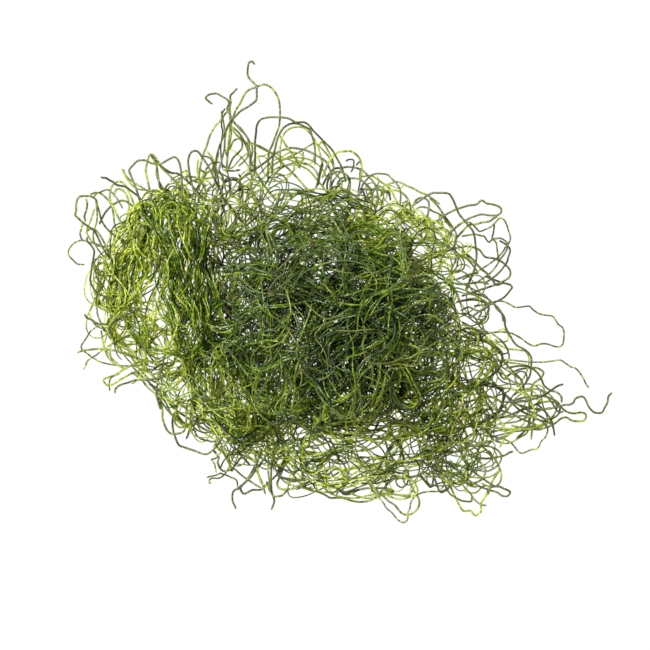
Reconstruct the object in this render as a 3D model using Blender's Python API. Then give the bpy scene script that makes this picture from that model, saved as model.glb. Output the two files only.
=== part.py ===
# Spaghetti algae: a loose clump of wiry, unbranched green filaments lying on a flat surface.
# The dense tangle is one solid with its locks of filaments standing out on it.
# Every filament that strays out of the tangle is a solid of its own.

import math
import random
from collections import namedtuple

import bmesh
import bpy
from mathutils import Vector
from mathutils.bvhtree import BVHTree
from mathutils.kdtree import KDTree

# Driving dimensions, in metres
CLUMP_LENGTH = 0.1313
TANGLE_HEIGHT = 0.034
FILAMENT_DIAMETER = 0.0006
LOCK_RADIUS = 0.0021
LOCK_LENGTH = 0.054
GAP = 0.0003

# The clump seen from straight above in the photograph, in pixels of its 650 x 650 frame
LEFT_END_PX = 66.5
RIGHT_END_PX = 614.0
CENTRE_PX = (340.2, 292.2)
METRES_PER_PIXEL = CLUMP_LENGTH / (RIGHT_END_PX - LEFT_END_PX)

# Fineness of the solids, in metres. A stray is laid out in fine samples, of which every third
# guides the straight segments that it is drawn with. Their middles lie up to the chord sag away
# from the curve.
REMESH_SIZE = 0.0009
TANGLE_FACES = 5500
BALL_SUBDIVISIONS = 4
LOCK_SIDES_BETWEEN = 3
SHARP_ANGLE = math.radians(50)
LOCK_STEP = 0.004
LOCK_SEGMENT = 0.002
STRAY_SAMPLE = 0.0004
STRAY_SEGMENT = 0.0022
SAMPLES_PER_GUIDE = 3
CHORD_SAG = 0.00025

# The tangle is a few overlapping cushions of filaments. Each has its centre and radii in the
# photograph, its height, the heading of its filaments (0 runs to the right, 90 up the page)
# and the number of locks on it.
Cushion = namedtuple("Cushion", "centre_px radii_px height heading locks")
CUSHIONS = {
    "core": Cushion((344, 318), (126, 100), TANGLE_HEIGHT, 20, 20),
    "left": Cushion((176, 283), (64, 92), 0.021, 95, 12),
    "lower_left": Cushion((238, 380), (66, 56), 0.019, 125, 6),
    "top": Cushion((284, 212), (80, 46), 0.022, 70, 7),
    "upper_right": Cushion((402, 242), (68, 46), 0.021, 150, 7),
    "right": Cushion((450, 364), (60, 72), 0.020, 50, 7),
    "bottom": Cushion((366, 440), (106, 40), 0.015, 0, 7),
}
# A cushion sinks by this share of its height, so that it spreads at its foot.
CUSHION_SINK = 0.33

# Locks: how far they stand out, how thick their ends are for their middles, how low on its
# cushion a lock may start (0 at the middle, -1 at the foot), the fewest points that make one, and
# how much their heading and bend vary from lock to lock and from step to step, in radians.
SEED = 11
LOCK_RISE = 0.0013
LOCK_END = 0.35
LOCK_TRIES = 16
LOCK_LOWEST_START = -0.2
LOCK_FEWEST_POINTS = 4
HEADING_SPREAD = 0.45
BEND_SPREAD = 0.12
BEND_CHANGE = 0.07

# Where two strays cross, the upper one is lifted over this length to either side. A lift can
# bring it onto a third, so the lifting is repeated.
LIFT_REACH = 0.004
LIFT_ROUNDS = 6

# Materials: colour, roughness and metallic value
TANGLE_FINISH = ((0.060, 0.130, 0.018, 1.0), 0.45, 0.0)
FILAMENT_FINISH = ((0.150, 0.290, 0.030, 1.0), 0.40, 0.0)

# The filaments that stray out of the tangle. Each has its heights in metres at its start,
# middle and end, and its route across the photograph in pixels. A route runs on into the
# tangle, where the tangle's solid takes over.
STRAYS = {
    "top_hook": ((0.014, 0.026, 0.010), (
        (255, 65), (252, 62), (249, 64), (248, 70), (248, 76), (250, 80), (255, 85), (257, 88),
        (257, 93), (257, 100), (255, 103), (248, 108), (241, 112), (236, 117), (233, 120),
        (229, 125), (226, 131), (223, 138), (219, 148), (216, 160), (215, 175))),
    "tall_arch": ((0.010, 0.019, 0.012), (
        (226, 172), (228, 150), (230, 130), (233, 118), (236, 110), (240, 104), (244, 96),
        (248, 91), (255, 88), (260, 86), (265, 85), (271, 88), (276, 94), (279, 101), (280, 109),
        (280, 118), (279, 127), (276, 135), (272, 146), (269, 153), (268, 168), (268, 182))),
    "left_hook": ((0.004, 0.010, 0.012), (
        (212, 103), (208, 100), (205, 97), (208, 94), (212, 93), (217, 93), (222, 96), (227, 99),
        (229, 103), (227, 108), (230, 115), (234, 122), (240, 129), (247, 137), (249, 146),
        (250, 160), (250, 175))),
    "left_slope": ((0.007, 0.006, 0.007), (
        (231, 99), (229, 107), (224, 114), (220, 120), (215, 125), (212, 130), (209, 136),
        (206, 146), (203, 153), (200, 165), (198, 180))),
    "second_arch": ((0.008, 0.026, 0.010), (
        (254, 175), (255, 160), (255, 143), (256, 134), (257, 126), (261, 120), (269, 118),
        (278, 118), (288, 119), (296, 123), (304, 123), (309, 126), (313, 131), (318, 136),
        (325, 143), (332, 150), (336, 157), (342, 168), (346, 182))),
    "dark_arch": ((0.014, 0.014, 0.013), (
        (272, 175), (273, 158), (275, 150), (277, 141), (280, 134), (284, 128), (291, 124),
        (298, 124), (305, 127), (310, 130), (312, 136), (314, 143), (315, 150), (315, 165))),
    "shoulder_strand": ((0.012, 0.016, 0.006), (
        (412, 206), (430, 194), (438, 193), (444, 193), (449, 194), (452, 198), (454, 202),
        (456, 207), (459, 214), (463, 219), (469, 226), (473, 231), (475, 238), (476, 247),
        (477, 256), (474, 272), (466, 290))),
    "upper_right_loop": ((0.007, 0.009, 0.005), (
        (430, 226), (450, 212), (466, 206), (470, 205), (477, 204), (482, 200), (487, 203),
        (493, 204), (499, 206), (502, 209), (501, 213), (497, 215), (490, 215), (482, 214),
        (475, 216), (468, 219), (458, 226), (444, 238))),
    "right_frill": ((0.008, 0.004, 0.009), (
        (440, 246), (454, 229), (459, 224), (465, 222), (470, 222), (474, 225), (477, 228),
        (480, 231), (486, 229), (492, 226), (496, 222), (500, 218), (504, 219), (507, 224),
        (509, 230), (511, 237), (510, 242), (506, 247), (503, 252), (495, 260), (480, 270),
        (462, 280))),
    "right_crook": ((0.006, 0.010, 0.005), (
        (450, 250), (466, 246), (479, 249), (483, 254), (486, 257), (493, 258), (499, 260),
        (504, 263), (510, 269), (511, 274), (509, 278), (504, 281), (495, 285), (480, 290),
        (462, 296))),
    "big_right_loop": ((0.009, 0.004, 0.006), (
        (480, 306), (492, 302), (502, 301), (510, 304), (515, 307), (521, 307), (530, 306),
        (533, 309), (537, 312), (541, 314), (546, 315), (553, 316), (556, 319), (559, 324),
        (563, 327), (565, 331), (565, 337), (564, 344), (560, 347), (554, 346), (548, 344),
        (542, 344), (535, 346), (528, 343), (523, 339), (516, 335), (511, 333), (500, 332),
        (486, 334))),
    "right_bend": ((0.012, 0.013, 0.004), (
        (470, 318), (491, 304), (497, 309), (503, 315), (505, 320), (505, 325), (507, 330),
        (511, 337), (514, 342), (518, 346), (524, 349), (529, 353), (532, 358), (532, 366),
        (530, 378), (520, 392))),
    "sweeping_strand": ((0.008, 0.017, 0.012), (
        (478, 366), (490, 362), (502, 360), (510, 360), (520, 361), (531, 362), (543, 362),
        (552, 361), (560, 360), (565, 363), (571, 367), (575, 368), (579, 372), (583, 378),
        (586, 384), (589, 388))),
    "wavy_tail": ((0.006, 0.011, 0.003), (
        (516, 404), (534, 409), (550, 409), (558, 407), (566, 405), (570, 405), (574, 403),
        (576, 399), (580, 397), (584, 397), (587, 401), (589, 406), (592, 410), (596, 413),
        (603, 413), (606, 408), (609, 403), (610, 397), (614, 393))),
    "right_hairpin": ((0.003, 0.002, 0.003), (
        (520, 412), (540, 404), (553, 402), (561, 406), (565, 410), (570, 413), (576, 414),
        (584, 413), (588, 416), (586, 421), (580, 422), (573, 421), (568, 418), (563, 419),
        (559, 422), (555, 425), (545, 429), (530, 430), (512, 426))),
    "right_barb": ((0.009, 0.012, 0.015), (
        (504, 402), (518, 402), (530, 400), (542, 396), (550, 391), (557, 386), (563, 384))),
    "right_zigzag": ((0.010, 0.007, 0.008), (
        (506, 368), (520, 366), (530, 367), (538, 373), (542, 379), (545, 386), (552, 391),
        (557, 392), (562, 397), (562, 403))),
    "right_drop": ((0.008, 0.012, 0.006), (
        (512, 388), (526, 396), (534, 408), (534, 419), (533, 427), (532, 440))),
    "low_right_wave": ((0.009, 0.003, 0.006), (
        (505, 418), (524, 416), (540, 420), (548, 428), (548, 433), (546, 438), (542, 442),
        (540, 447), (537, 450), (533, 450), (528, 452), (523, 454), (519, 452), (516, 448),
        (510, 442), (498, 438), (484, 436))),
    "low_right_beak": ((0.007, 0.008, 0.004), (
        (468, 456), (485, 459), (495, 458), (505, 456), (510, 453), (514, 452))),
    "bottom_right_wave": ((0.004, 0.002, 0.006), (
        (440, 474), (450, 486), (455, 496), (457, 500), (460, 506), (464, 512), (468, 512),
        (472, 512), (474, 515), (477, 517), (480, 514), (482, 513), (482, 508), (482, 504),
        (485, 500), (488, 494), (491, 489), (492, 485), (494, 481), (497, 476), (500, 471),
        (499, 465), (494, 458), (484, 448), (472, 440))),
    "bean_loop": ((0.006, 0.010, 0.004), (
        (462, 458), (474, 472), (486, 481), (492, 485), (496, 487), (500, 487), (504, 489),
        (509, 491), (511, 493), (509, 496), (506, 497), (502, 496), (498, 493), (491, 491),
        (480, 487), (468, 480), (456, 468))),
    "dark_bottom_loop": ((0.006, 0.012, 0.006), (
        (358, 470), (372, 488), (380, 499), (384, 504), (387, 509), (392, 513), (396, 518),
        (399, 521), (403, 523), (406, 522), (408, 519), (408, 513), (410, 509), (411, 503),
        (414, 498), (418, 495), (423, 493), (430, 492), (437, 492), (444, 491), (450, 486),
        (452, 476), (450, 462))),
    "green_bottom_loop": ((0.005, 0.001, 0.004), (
        (366, 478), (376, 490), (385, 498), (389, 502), (395, 506), (399, 511), (403, 515),
        (409, 516), (414, 514), (418, 510), (420, 505), (419, 499), (415, 493), (413, 489),
        (410, 482), (408, 470))),
    "bottom_line": ((0.003, 0.002, 0.004), (
        (286, 466), (298, 482), (307, 490), (313, 492), (318, 493), (325, 496), (330, 499),
        (335, 499), (341, 499), (346, 500), (352, 502), (358, 503), (363, 503), (369, 502),
        (375, 499), (382, 492), (390, 482), (396, 470))),
    "left_drop": ((0.010, 0.007, 0.003), (
        (274, 446), (272, 460), (271, 472), (271, 487), (272, 494), (274, 501), (273, 506),
        (271, 511))),
    "curl_down": ((0.006, 0.010, 0.004), (
        (270, 448), (262, 462), (253, 474), (246, 482), (241, 486), (237, 489), (233, 492),
        (232, 496), (232, 500), (233, 504), (235, 508), (235, 510))),
    "low_hammock": ((0.004, 0.002, 0.004), (
        (262, 452), (254, 468), (247, 480), (242, 486), (240, 490), (242, 494), (244, 495),
        (248, 493), (252, 491), (259, 491), (263, 489), (268, 484), (278, 474), (290, 460))),
    "low_left_curl": ((0.010, 0.006, 0.008), (
        (216, 473), (215, 468), (214, 464), (211, 460), (215, 459), (219, 455), (223, 448),
        (230, 438), (238, 428))),
    "ring_strand": ((0.010, 0.002, 0.004), (
        (242, 440), (236, 452), (231, 462), (227, 471), (222, 477), (218, 479), (214, 479),
        (211, 479), (208, 482), (209, 484), (211, 484))),
    "low_swoop": ((0.003, 0.001, 0.007), (
        (178, 404), (172, 418), (172, 430), (175, 440), (178, 446), (183, 448), (189, 450),
        (195, 452), (200, 454), (205, 455), (208, 454), (212, 451), (216, 447), (222, 438),
        (230, 426))),
    "low_loop": ((0.008, 0.007, 0.010), (
        (160, 384), (160, 398), (162, 411), (162, 418), (164, 425), (167, 431), (171, 434),
        (177, 434), (183, 432), (185, 427), (186, 421), (186, 412), (188, 400))),
    "low_left_spike": ((0.003, 0.003, 0.004), (
        (185, 440), (187, 436), (189, 430), (193, 424), (197, 419), (204, 410), (212, 398))),
    "left_whisker": ((0.006, 0.011, 0.010), (
        (76, 353), (81, 351), (88, 350), (96, 349), (104, 349), (109, 350), (116, 351),
        (124, 354), (136, 358), (150, 362))),
    "left_kite": ((0.007, 0.004, 0.005), (
        (128, 318), (116, 322), (104, 324), (94, 328), (89, 332), (86, 337), (82, 343),
        (80, 346), (81, 350), (85, 353), (89, 356), (95, 360), (99, 362), (106, 364), (112, 365),
        (120, 366), (134, 366), (148, 364))),
    "dark_whisker": ((0.010, 0.013, 0.012), (
        (84, 314), (87, 318), (92, 320), (96, 323), (102, 324), (108, 324), (116, 321),
        (128, 314), (140, 308))),
    "small_whisker": ((0.010, 0.010, 0.008), (
        (83, 370), (85, 366), (87, 361), (91, 358), (96, 355), (101, 351), (110, 345),
        (124, 338), (138, 332))),
    "left_paperclip": ((0.008, 0.002, 0.003), (
        (148, 358), (134, 364), (122, 370), (118, 373), (112, 376), (106, 378), (102, 380),
        (104, 384), (107, 386), (111, 385), (116, 382), (121, 379), (130, 374), (146, 368))),
    "lower_hook": ((0.004, 0.006, 0.009), (
        (114, 394), (114, 390), (118, 386), (123, 384), (127, 383), (132, 381), (137, 380),
        (146, 380), (158, 378), (170, 374))),
    "far_left_curl": ((0.009, 0.008, 0.003), (
        (136, 262), (120, 254), (106, 248), (96, 244), (88, 242), (82, 240), (77, 241), (73, 243),
        (70, 246), (68, 249), (67, 253), (69, 257), (71, 259), (75, 263), (78, 264), (83, 264))),
    "left_bow": ((0.014, 0.012, 0.008), (
        (88, 237), (87, 239), (88, 242), (91, 245), (94, 250), (94, 255), (92, 265), (91, 273),
        (90, 280), (92, 286), (96, 292), (101, 295), (106, 297), (112, 298), (122, 304),
        (134, 312))),
    "big_left_loop": ((0.008, 0.016, 0.006), (
        (118, 270), (108, 256), (102, 247), (97, 236), (94, 231), (89, 227), (83, 223), (79, 219),
        (75, 215), (76, 211), (76, 205), (77, 200), (79, 197), (82, 196), (86, 196), (90, 196),
        (94, 198), (96, 200), (97, 205), (99, 212), (100, 217), (103, 224), (110, 232),
        (122, 240), (134, 246))),
    "left_tip": ((0.014, 0.012, 0.010), (
        (101, 177), (103, 178), (106, 178), (109, 180), (113, 182), (117, 185), (122, 186),
        (126, 187), (130, 190), (134, 193), (138, 196), (140, 199), (143, 206), (146, 218),
        (148, 230))),
    "left_hoop": ((0.006, 0.004, 0.005), (
        (128, 236), (120, 222), (114, 210), (109, 198), (109, 192), (110, 187), (113, 183),
        (116, 181), (120, 181), (123, 183), (127, 189), (130, 196), (134, 206), (140, 218))),
    "upper_left_wave": ((0.012, 0.010, 0.012), (
        (144, 214), (139, 198), (136, 188), (133, 181), (131, 176), (129, 170), (133, 165),
        (137, 161), (143, 160), (147, 161), (151, 163), (157, 164), (162, 163), (169, 159),
        (175, 157), (179, 162), (181, 172), (182, 188), (182, 204))),
    "upper_left_peak": ((0.007, 0.004, 0.008), (
        (152, 206), (149, 190), (147, 180), (145, 171), (146, 163), (148, 156), (150, 153),
        (154, 156), (157, 160), (160, 166), (166, 172), (174, 180), (184, 190), (194, 200))),
    "upper_notch": ((0.008, 0.012, 0.008), (
        (196, 196), (191, 182), (189, 171), (188, 160), (191, 152), (197, 151), (202, 157),
        (208, 166), (214, 178), (220, 190))),
    "crown_loop": ((0.026, 0.054, 0.026), (
        (288, 304), (292, 290), (304, 274), (324, 265), (346, 262), (368, 268), (384, 282),
        (391, 298), (392, 314))),
    "right_crown_loop": ((0.022, 0.044, 0.022), (
        (396, 344), (398, 332), (410, 319), (428, 315), (443, 325), (448, 341), (440, 356),
        (430, 364))),
    "left_crown_loop": ((0.014, 0.036, 0.016), (
        (152, 256), (150, 240), (157, 223), (172, 214), (188, 220), (196, 236), (199, 254))),
    "low_crown_loop": ((0.015, 0.038, 0.016), (
        (206, 376), (206, 360), (216, 346), (232, 343), (246, 353), (250, 370), (246, 386))),
    "top_crown_loop": ((0.016, 0.040, 0.018), (
        (262, 222), (262, 206), (270, 191), (285, 184), (302, 190), (310, 205), (310, 220))),
    "bottom_crown_loop": ((0.012, 0.030, 0.013), (
        (330, 420), (332, 434), (343, 446), (361, 450), (379, 444), (388, 430), (388, 418))),
}


def clear_scene():
    for old in list(bpy.data.objects):
        bpy.data.objects.remove(old, do_unlink=True)


def make_material(name, finish):
    colour, roughness, metallic = finish
    material = bpy.data.materials.new(name)
    material.use_nodes = True
    shader = material.node_tree.nodes["Principled BSDF"]
    shader.inputs["Base Color"].default_value = colour
    shader.inputs["Roughness"].default_value = roughness
    shader.inputs["Metallic"].default_value = metallic
    return material


def plan(pixel):
    """Where a point of the photograph lies on the surface under the clump."""
    x = (pixel[0] - CENTRE_PX[0]) * METRES_PER_PIXEL
    y = (CENTRE_PX[1] - pixel[1]) * METRES_PER_PIXEL
    return Vector((x, y))


def cushion_shape(cushion):
    """Centre and radii of a cushion, which sinks a little below the surface it lies on."""
    rise = cushion.height * (1 + CUSHION_SINK) / 2
    x, y = plan(cushion.centre_px)
    centre = Vector((x, y, cushion.height - rise))
    across = [radius * METRES_PER_PIXEL for radius in cushion.radii_px]
    return centre, Vector((across[0], across[1], rise))


SHAPES = {name: cushion_shape(cushion) for name, cushion in CUSHIONS.items()}


def depth_in(point, shape):
    """0 at a cushion's centre, 1 on its outside, more beyond it."""
    centre, radii = shape
    return math.sqrt(sum(((p - c) / r) ** 2 for p, c, r in zip(point, centre, radii)))


def nearest_cushion(point):
    return min(SHAPES.values(), key=lambda shape: depth_in(point, shape))


def on_tangle(point):
    """Bring a point onto the outside of all the cushions together."""
    for _ in CUSHIONS:
        shape = nearest_cushion(point)
        point = shape[0] + (point - shape[0]) / depth_in(point, shape)
    return point


def outward(point):
    centre, radii = nearest_cushion(point)
    slope = Vector([(p - c) / r ** 2 for p, c, r in zip(point, centre, radii)])
    return slope.normalized()


def lock_start(shape, paths, rng):
    """A place on a cushion that is well away from the locks already there."""
    centre, radii = shape
    taken = [point for path in paths for point in path]
    best, widest = None, -1.0
    for _ in range(LOCK_TRIES):
        turn = rng.uniform(0, math.tau)
        up = rng.uniform(LOCK_LOWEST_START, 1.0)
        out = math.sqrt(1 - up ** 2)
        ray = Vector((math.cos(turn) * out * radii.x, math.sin(turn) * out * radii.y, up * radii.z))
        point = on_tangle(centre + ray)
        room = min([(point - other).length for other in taken], default=1.0)
        if point.z > LOCK_RADIUS and room > widest:
            best, widest = point, room
    return best


def lock_path(cushion, start, rng):
    """A lock wanders over the tangle's outside, roughly along its cushion's heading."""
    point = start
    angle = math.radians(cushion.heading) + rng.gauss(0, HEADING_SPREAD)
    bend = rng.gauss(0, BEND_SPREAD)
    path = [point]
    for _ in range(round(LOCK_LENGTH / LOCK_STEP)):
        bend += rng.gauss(0, BEND_CHANGE)
        angle += bend
        ahead = Vector((math.cos(angle), math.sin(angle), 0))
        normal = outward(point)
        ahead = (ahead - normal * ahead.dot(normal)).normalized()
        point = on_tangle(point + ahead * LOCK_STEP)
        if point.z < LOCK_RADIUS / 2:
            break
        path.append(point)
    return path


def smooth_path(points, spacing):
    """Even points along a smooth curve through the given ones."""
    fine = []
    padded = [points[0] * 2 - points[1], *points, points[-1] * 2 - points[-2]]
    for before, start, end, after in zip(padded, padded[1:], padded[2:], padded[3:]):
        steps = max(2, math.ceil((end - start).length / (spacing * 0.5)))
        for step in range(steps):
            t = step / steps
            fine.append(0.5 * (2 * start + (end - before) * t
                               + (2 * before - 5 * start + 4 * end - after) * t ** 2
                               + (3 * start - before - 3 * end + after) * t ** 3))
    fine.append(points[-1].copy())
    lengths = [0.0]
    for a, b in zip(fine, fine[1:]):
        lengths.append(lengths[-1] + (b - a).length)
    count = max(2, round(lengths[-1] / spacing))
    even, index = [], 0
    for step in range(count + 1):
        target = lengths[-1] * step / count
        while index < len(lengths) - 2 and lengths[index + 1] < target:
            index += 1
        share = (target - lengths[index]) / max(lengths[index + 1] - lengths[index], 1e-9)
        even.append(fine[index].lerp(fine[index + 1], min(share, 1.0)))
    return even


def tube(name, paths, radius, sides_between=0, taper=None):
    """Round tubes with closed ends along paths, as one curve object."""
    curve = bpy.data.curves.new(name, "CURVE")
    curve.dimensions = "3D"
    curve.bevel_depth = radius
    curve.bevel_resolution = sides_between
    curve.use_fill_caps = True
    for path in paths:
        spline = curve.splines.new("POLY")
        spline.points.add(len(path) - 1)
        for index, (knot, point) in enumerate(zip(spline.points, path)):
            knot.co = (*point, 1.0)
            if taper:
                knot.radius = taper(index / (len(path) - 1))
    piece = bpy.data.objects.new(name, curve)
    bpy.context.collection.objects.link(piece)
    return piece


def evaluated_mesh(piece):
    """The mesh of an object with its bevel and modifiers worked out."""
    bpy.context.view_layer.update()
    graph = bpy.context.evaluated_depsgraph_get()
    return bpy.data.meshes.new_from_object(piece.evaluated_get(graph))


def lock_taper(t):
    """A lock is thickest at its middle and dives into the tangle at its ends."""
    return LOCK_END + (1 - LOCK_END) * math.sin(math.pi * t) ** 0.5


def tangle_rough():
    """The cushions and the locks, still as separate closed shapes in one mesh."""
    rng = random.Random(SEED)
    rough = bmesh.new()
    paths = []
    for name, cushion in CUSHIONS.items():
        centre, radii = SHAPES[name]
        ball = bmesh.ops.create_icosphere(rough, subdivisions=BALL_SUBDIVISIONS, radius=1.0)
        for corner in ball["verts"]:
            corner.co = centre + Vector([c * (r - LOCK_RISE) for c, r in zip(corner.co, radii)])
        for _ in range(cushion.locks):
            paths.append(lock_path(cushion, lock_start(SHAPES[name], paths, rng), rng))
    long_enough = [path for path in paths if len(path) >= LOCK_FEWEST_POINTS]
    routes = [smooth_path(path, LOCK_SEGMENT) for path in long_enough]
    locks = tube("locks", routes, LOCK_RADIUS, LOCK_SIDES_BETWEEN, lock_taper)
    rough.from_mesh(evaluated_mesh(locks))
    bpy.data.objects.remove(locks)
    mesh = bpy.data.meshes.new("tangle_rough")
    rough.to_mesh(mesh)
    rough.free()
    return mesh


def keep_largest_shell(shape):
    """Drop the closed pockets that the locks leave over the cushions."""
    left = set(shape.faces)
    shells = []
    while left:
        stack = [left.pop()]
        shell = list(stack)
        while stack:
            for edge in stack.pop().edges:
                for face in edge.link_faces:
                    if face in left:
                        left.remove(face)
                        stack.append(face)
                        shell.append(face)
        shells.append(shell)
    shells.sort(key=len, reverse=True)
    for shell in shells[1:]:
        bmesh.ops.delete(shape, geom=shell, context="FACES")


def cut_flat(shape):
    """Cut the tangle off at the surface it lies on and close the cut."""
    everything = shape.verts[:] + shape.edges[:] + shape.faces[:]
    cut = bmesh.ops.bisect_plane(shape, geom=everything, plane_co=(0, 0, 0), plane_no=(0, 0, 1),
                                 clear_inner=True, dist=1e-7)
    rim = [part for part in cut["geom_cut"] if isinstance(part, bmesh.types.BMEdge)]
    bmesh.ops.triangle_fill(shape, edges=rim, use_beauty=True, normal=(0, 0, -1))


def build_tangle(material):
    piece = bpy.data.objects.new("tangle", tangle_rough())
    bpy.context.collection.objects.link(piece)
    remesh = piece.modifiers.new("fuse the locks", "REMESH")
    remesh.mode = "VOXEL"
    remesh.voxel_size = REMESH_SIZE
    fused = evaluated_mesh(piece)
    piece.modifiers.clear()

    shape = bmesh.new()
    shape.from_mesh(fused)
    keep_largest_shell(shape)
    shape.to_mesh(fused)
    shape.free()
    piece.data = fused
    thin = piece.modifiers.new("fewer faces", "DECIMATE")
    thin.ratio = TANGLE_FACES / (2 * len(fused.polygons))
    plain = evaluated_mesh(piece)
    piece.modifiers.clear()

    shape = bmesh.new()
    shape.from_mesh(plain)
    cut_flat(shape)
    bmesh.ops.triangulate(shape, faces=shape.faces[:])
    bmesh.ops.recalc_face_normals(shape, faces=shape.faces[:])
    shape.to_mesh(plain)
    shape.free()
    plain.shade_smooth()
    plain.set_sharp_from_angle(angle=SHARP_ANGLE)
    piece.data = plain
    plain.materials.clear()
    plain.materials.append(material)
    return piece


def stray_path(heights, route):
    """A stray's own smooth path, before it meets the others."""
    start, middle, end = heights
    points = []
    for index, pixel in enumerate(route):
        t = index / (len(route) - 1)
        height = start * (1 - t) ** 2 + 2 * middle * t * (1 - t) + end * t ** 2
        x, y = plan(pixel)
        points.append(Vector((x, y, height)))
    return smooth_path(points, STRAY_SAMPLE)


def outside_tangle(path, tangle_tree):
    """The longest stretch of a path that keeps clear of the tangle."""
    clearance = FILAMENT_DIAMETER / 2 + GAP + CHORD_SAG
    runs, run = [], []
    for point in path:
        hit, normal, _, distance = tangle_tree.find_nearest(point)
        inside = (point - hit).dot(normal) < 0
        if inside or distance < clearance:
            runs.append(run)
            run = []
        else:
            run.append(point)
    runs.append(run)
    return max(runs, key=len)


def lift_over(path, laid):
    """Lift a filament where it crosses those already laid, so that it passes over them."""
    if not laid:
        return path
    tree = KDTree(len(laid))
    for index, point in enumerate(laid):
        tree.insert((point.x, point.y, 0), index)
    tree.balance()
    apart = FILAMENT_DIAMETER + GAP + CHORD_SAG
    spread = round(LIFT_REACH / STRAY_SAMPLE)
    for _ in range(LIFT_ROUNDS):
        lifts = [0.0] * len(path)
        for index, point in enumerate(path):
            for _, other, _ in tree.find_range((point.x, point.y, 0), apart):
                if abs(point.z - laid[other].z) < apart:
                    lifts[index] = max(lifts[index], laid[other].z + apart - point.z)
        if max(lifts) < 1e-6:
            break
        for index, point in enumerate(path):
            first = max(0, index - spread)
            for near in range(first, min(len(path), index + spread + 1)):
                share = (1 - ((near - index) / spread) ** 2) ** 2
                lifts[index] = max(lifts[index], lifts[near] * share)
        path = [point + Vector((0, 0, lift)) for point, lift in zip(path, lifts)]
    return path


def build_strays(tangle, material):
    shape = bmesh.new()
    shape.from_mesh(tangle.data)
    tangle_tree = BVHTree.FromBMesh(shape)
    shape.free()
    laid = []
    for name, (heights, route) in STRAYS.items():
        path = lift_over(stray_path(heights, route), laid)
        path = outside_tangle(path, tangle_tree)
        laid.extend(path)
        guides = path[::SAMPLES_PER_GUIDE]
        piece = tube(name, [smooth_path(guides, STRAY_SEGMENT)], FILAMENT_DIAMETER / 2)
        piece.data.materials.append(material)


def main():
    clear_scene()
    tangle_material = make_material("wet algae tangle", TANGLE_FINISH)
    filament_material = make_material("wet algae filament", FILAMENT_FINISH)
    tangle = build_tangle(tangle_material)
    build_strays(tangle, filament_material)


main()
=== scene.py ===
# %% [markdown]
# # Spaghetti algae
# A loose clump of spaghetti algae is many thin, wiry, unbranched filaments that have grown
# through each other. Each filament is a single row of cells, like a string of short beads.
# The plain solids that carry the clump are loaded first. Every finished piece is then laid in
# the place of the solid that it stands for, at the same real size.

# %% Load the frame that carries the clump
import math
import random
from collections import namedtuple

import bpy
import numpy as np
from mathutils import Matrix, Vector


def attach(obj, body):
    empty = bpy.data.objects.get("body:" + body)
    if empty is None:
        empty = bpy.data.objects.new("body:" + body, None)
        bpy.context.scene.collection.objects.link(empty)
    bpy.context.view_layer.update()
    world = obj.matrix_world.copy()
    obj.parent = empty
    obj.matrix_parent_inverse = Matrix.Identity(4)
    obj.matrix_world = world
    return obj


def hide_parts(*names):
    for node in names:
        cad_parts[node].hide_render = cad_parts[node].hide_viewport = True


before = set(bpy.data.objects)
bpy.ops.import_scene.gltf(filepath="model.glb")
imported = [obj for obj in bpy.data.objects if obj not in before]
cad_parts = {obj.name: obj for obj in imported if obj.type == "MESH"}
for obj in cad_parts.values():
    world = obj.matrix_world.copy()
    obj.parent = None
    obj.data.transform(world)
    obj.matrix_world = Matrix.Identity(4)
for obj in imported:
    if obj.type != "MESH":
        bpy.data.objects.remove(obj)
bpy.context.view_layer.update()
print("nodes:", len(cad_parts))

# %% [markdown]
# ## Real size
# The photograph looks straight down, so a pixel stands for the same length everywhere. The
# filament gives the scale: it is about 0.6 mm thick and takes up about 2.4 pixels, so a pixel is
# about a quarter of a millimetre. Routes are written in the photograph's pixels and turned into
# metres here. The surface under the clump is at height 0.

# %% Pixels of the photograph as places on the surface
CLUMP_LENGTH = 0.1313
LEFT_END_PX = 66.5
RIGHT_END_PX = 614.0
CENTRE_PX = (340.2, 292.2)
METRES_PER_PIXEL = CLUMP_LENGTH / (RIGHT_END_PX - LEFT_END_PX)
FILAMENT_DIAMETER = 0.0006
MM = 0.001


def plan(pixel):
    """Where a point of the photograph lies on the surface under the clump."""
    x = (pixel[0] - CENTRE_PX[0]) * METRES_PER_PIXEL
    y = (CENTRE_PX[1] - pixel[1]) * METRES_PER_PIXEL
    return Vector((x, y))


print("one pixel is", round(METRES_PER_PIXEL / MM, 3), "mm")

# %% [markdown]
# ## Two small helpers
# Colours are written as sRGB hex values, the way a colour picker shows them, and shaders need
# them linear. The second helper adds one node, gives it its settings and joins its inputs, so
# that each tree below reads as a list of what it does.

# %% Colours and nodes


def linear(hex_colour):
    """A colour in sRGB hex as the linear values that a shader takes."""
    parts = [int(hex_colour[start:start + 2], 16) / 255 for start in (1, 3, 5)]
    light = [part / 12.92 if part <= 0.04045 else ((part + 0.055) / 1.055) ** 2.4 for part in parts]
    return (*light, 1.0)


def add_node(tree, kind, settings=None, **inputs):
    """Add a node. An input is named with _ for a space, and takes a value or another socket."""
    node = tree.nodes.new(kind)
    for name, value in (settings or {}).items():
        setattr(node, name, value)
    for name, value in inputs.items():
        socket = node.inputs[int(name[1:])] if name[1:].isdigit() else node.inputs[name.replace("_", " ")]
        if isinstance(value, bpy.types.NodeSocket):
            tree.links.new(value, socket)
        else:
            socket.default_value = value
    return node


print("olive in linear light:", [round(part, 3) for part in linear("#6E8F2A")])

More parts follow.
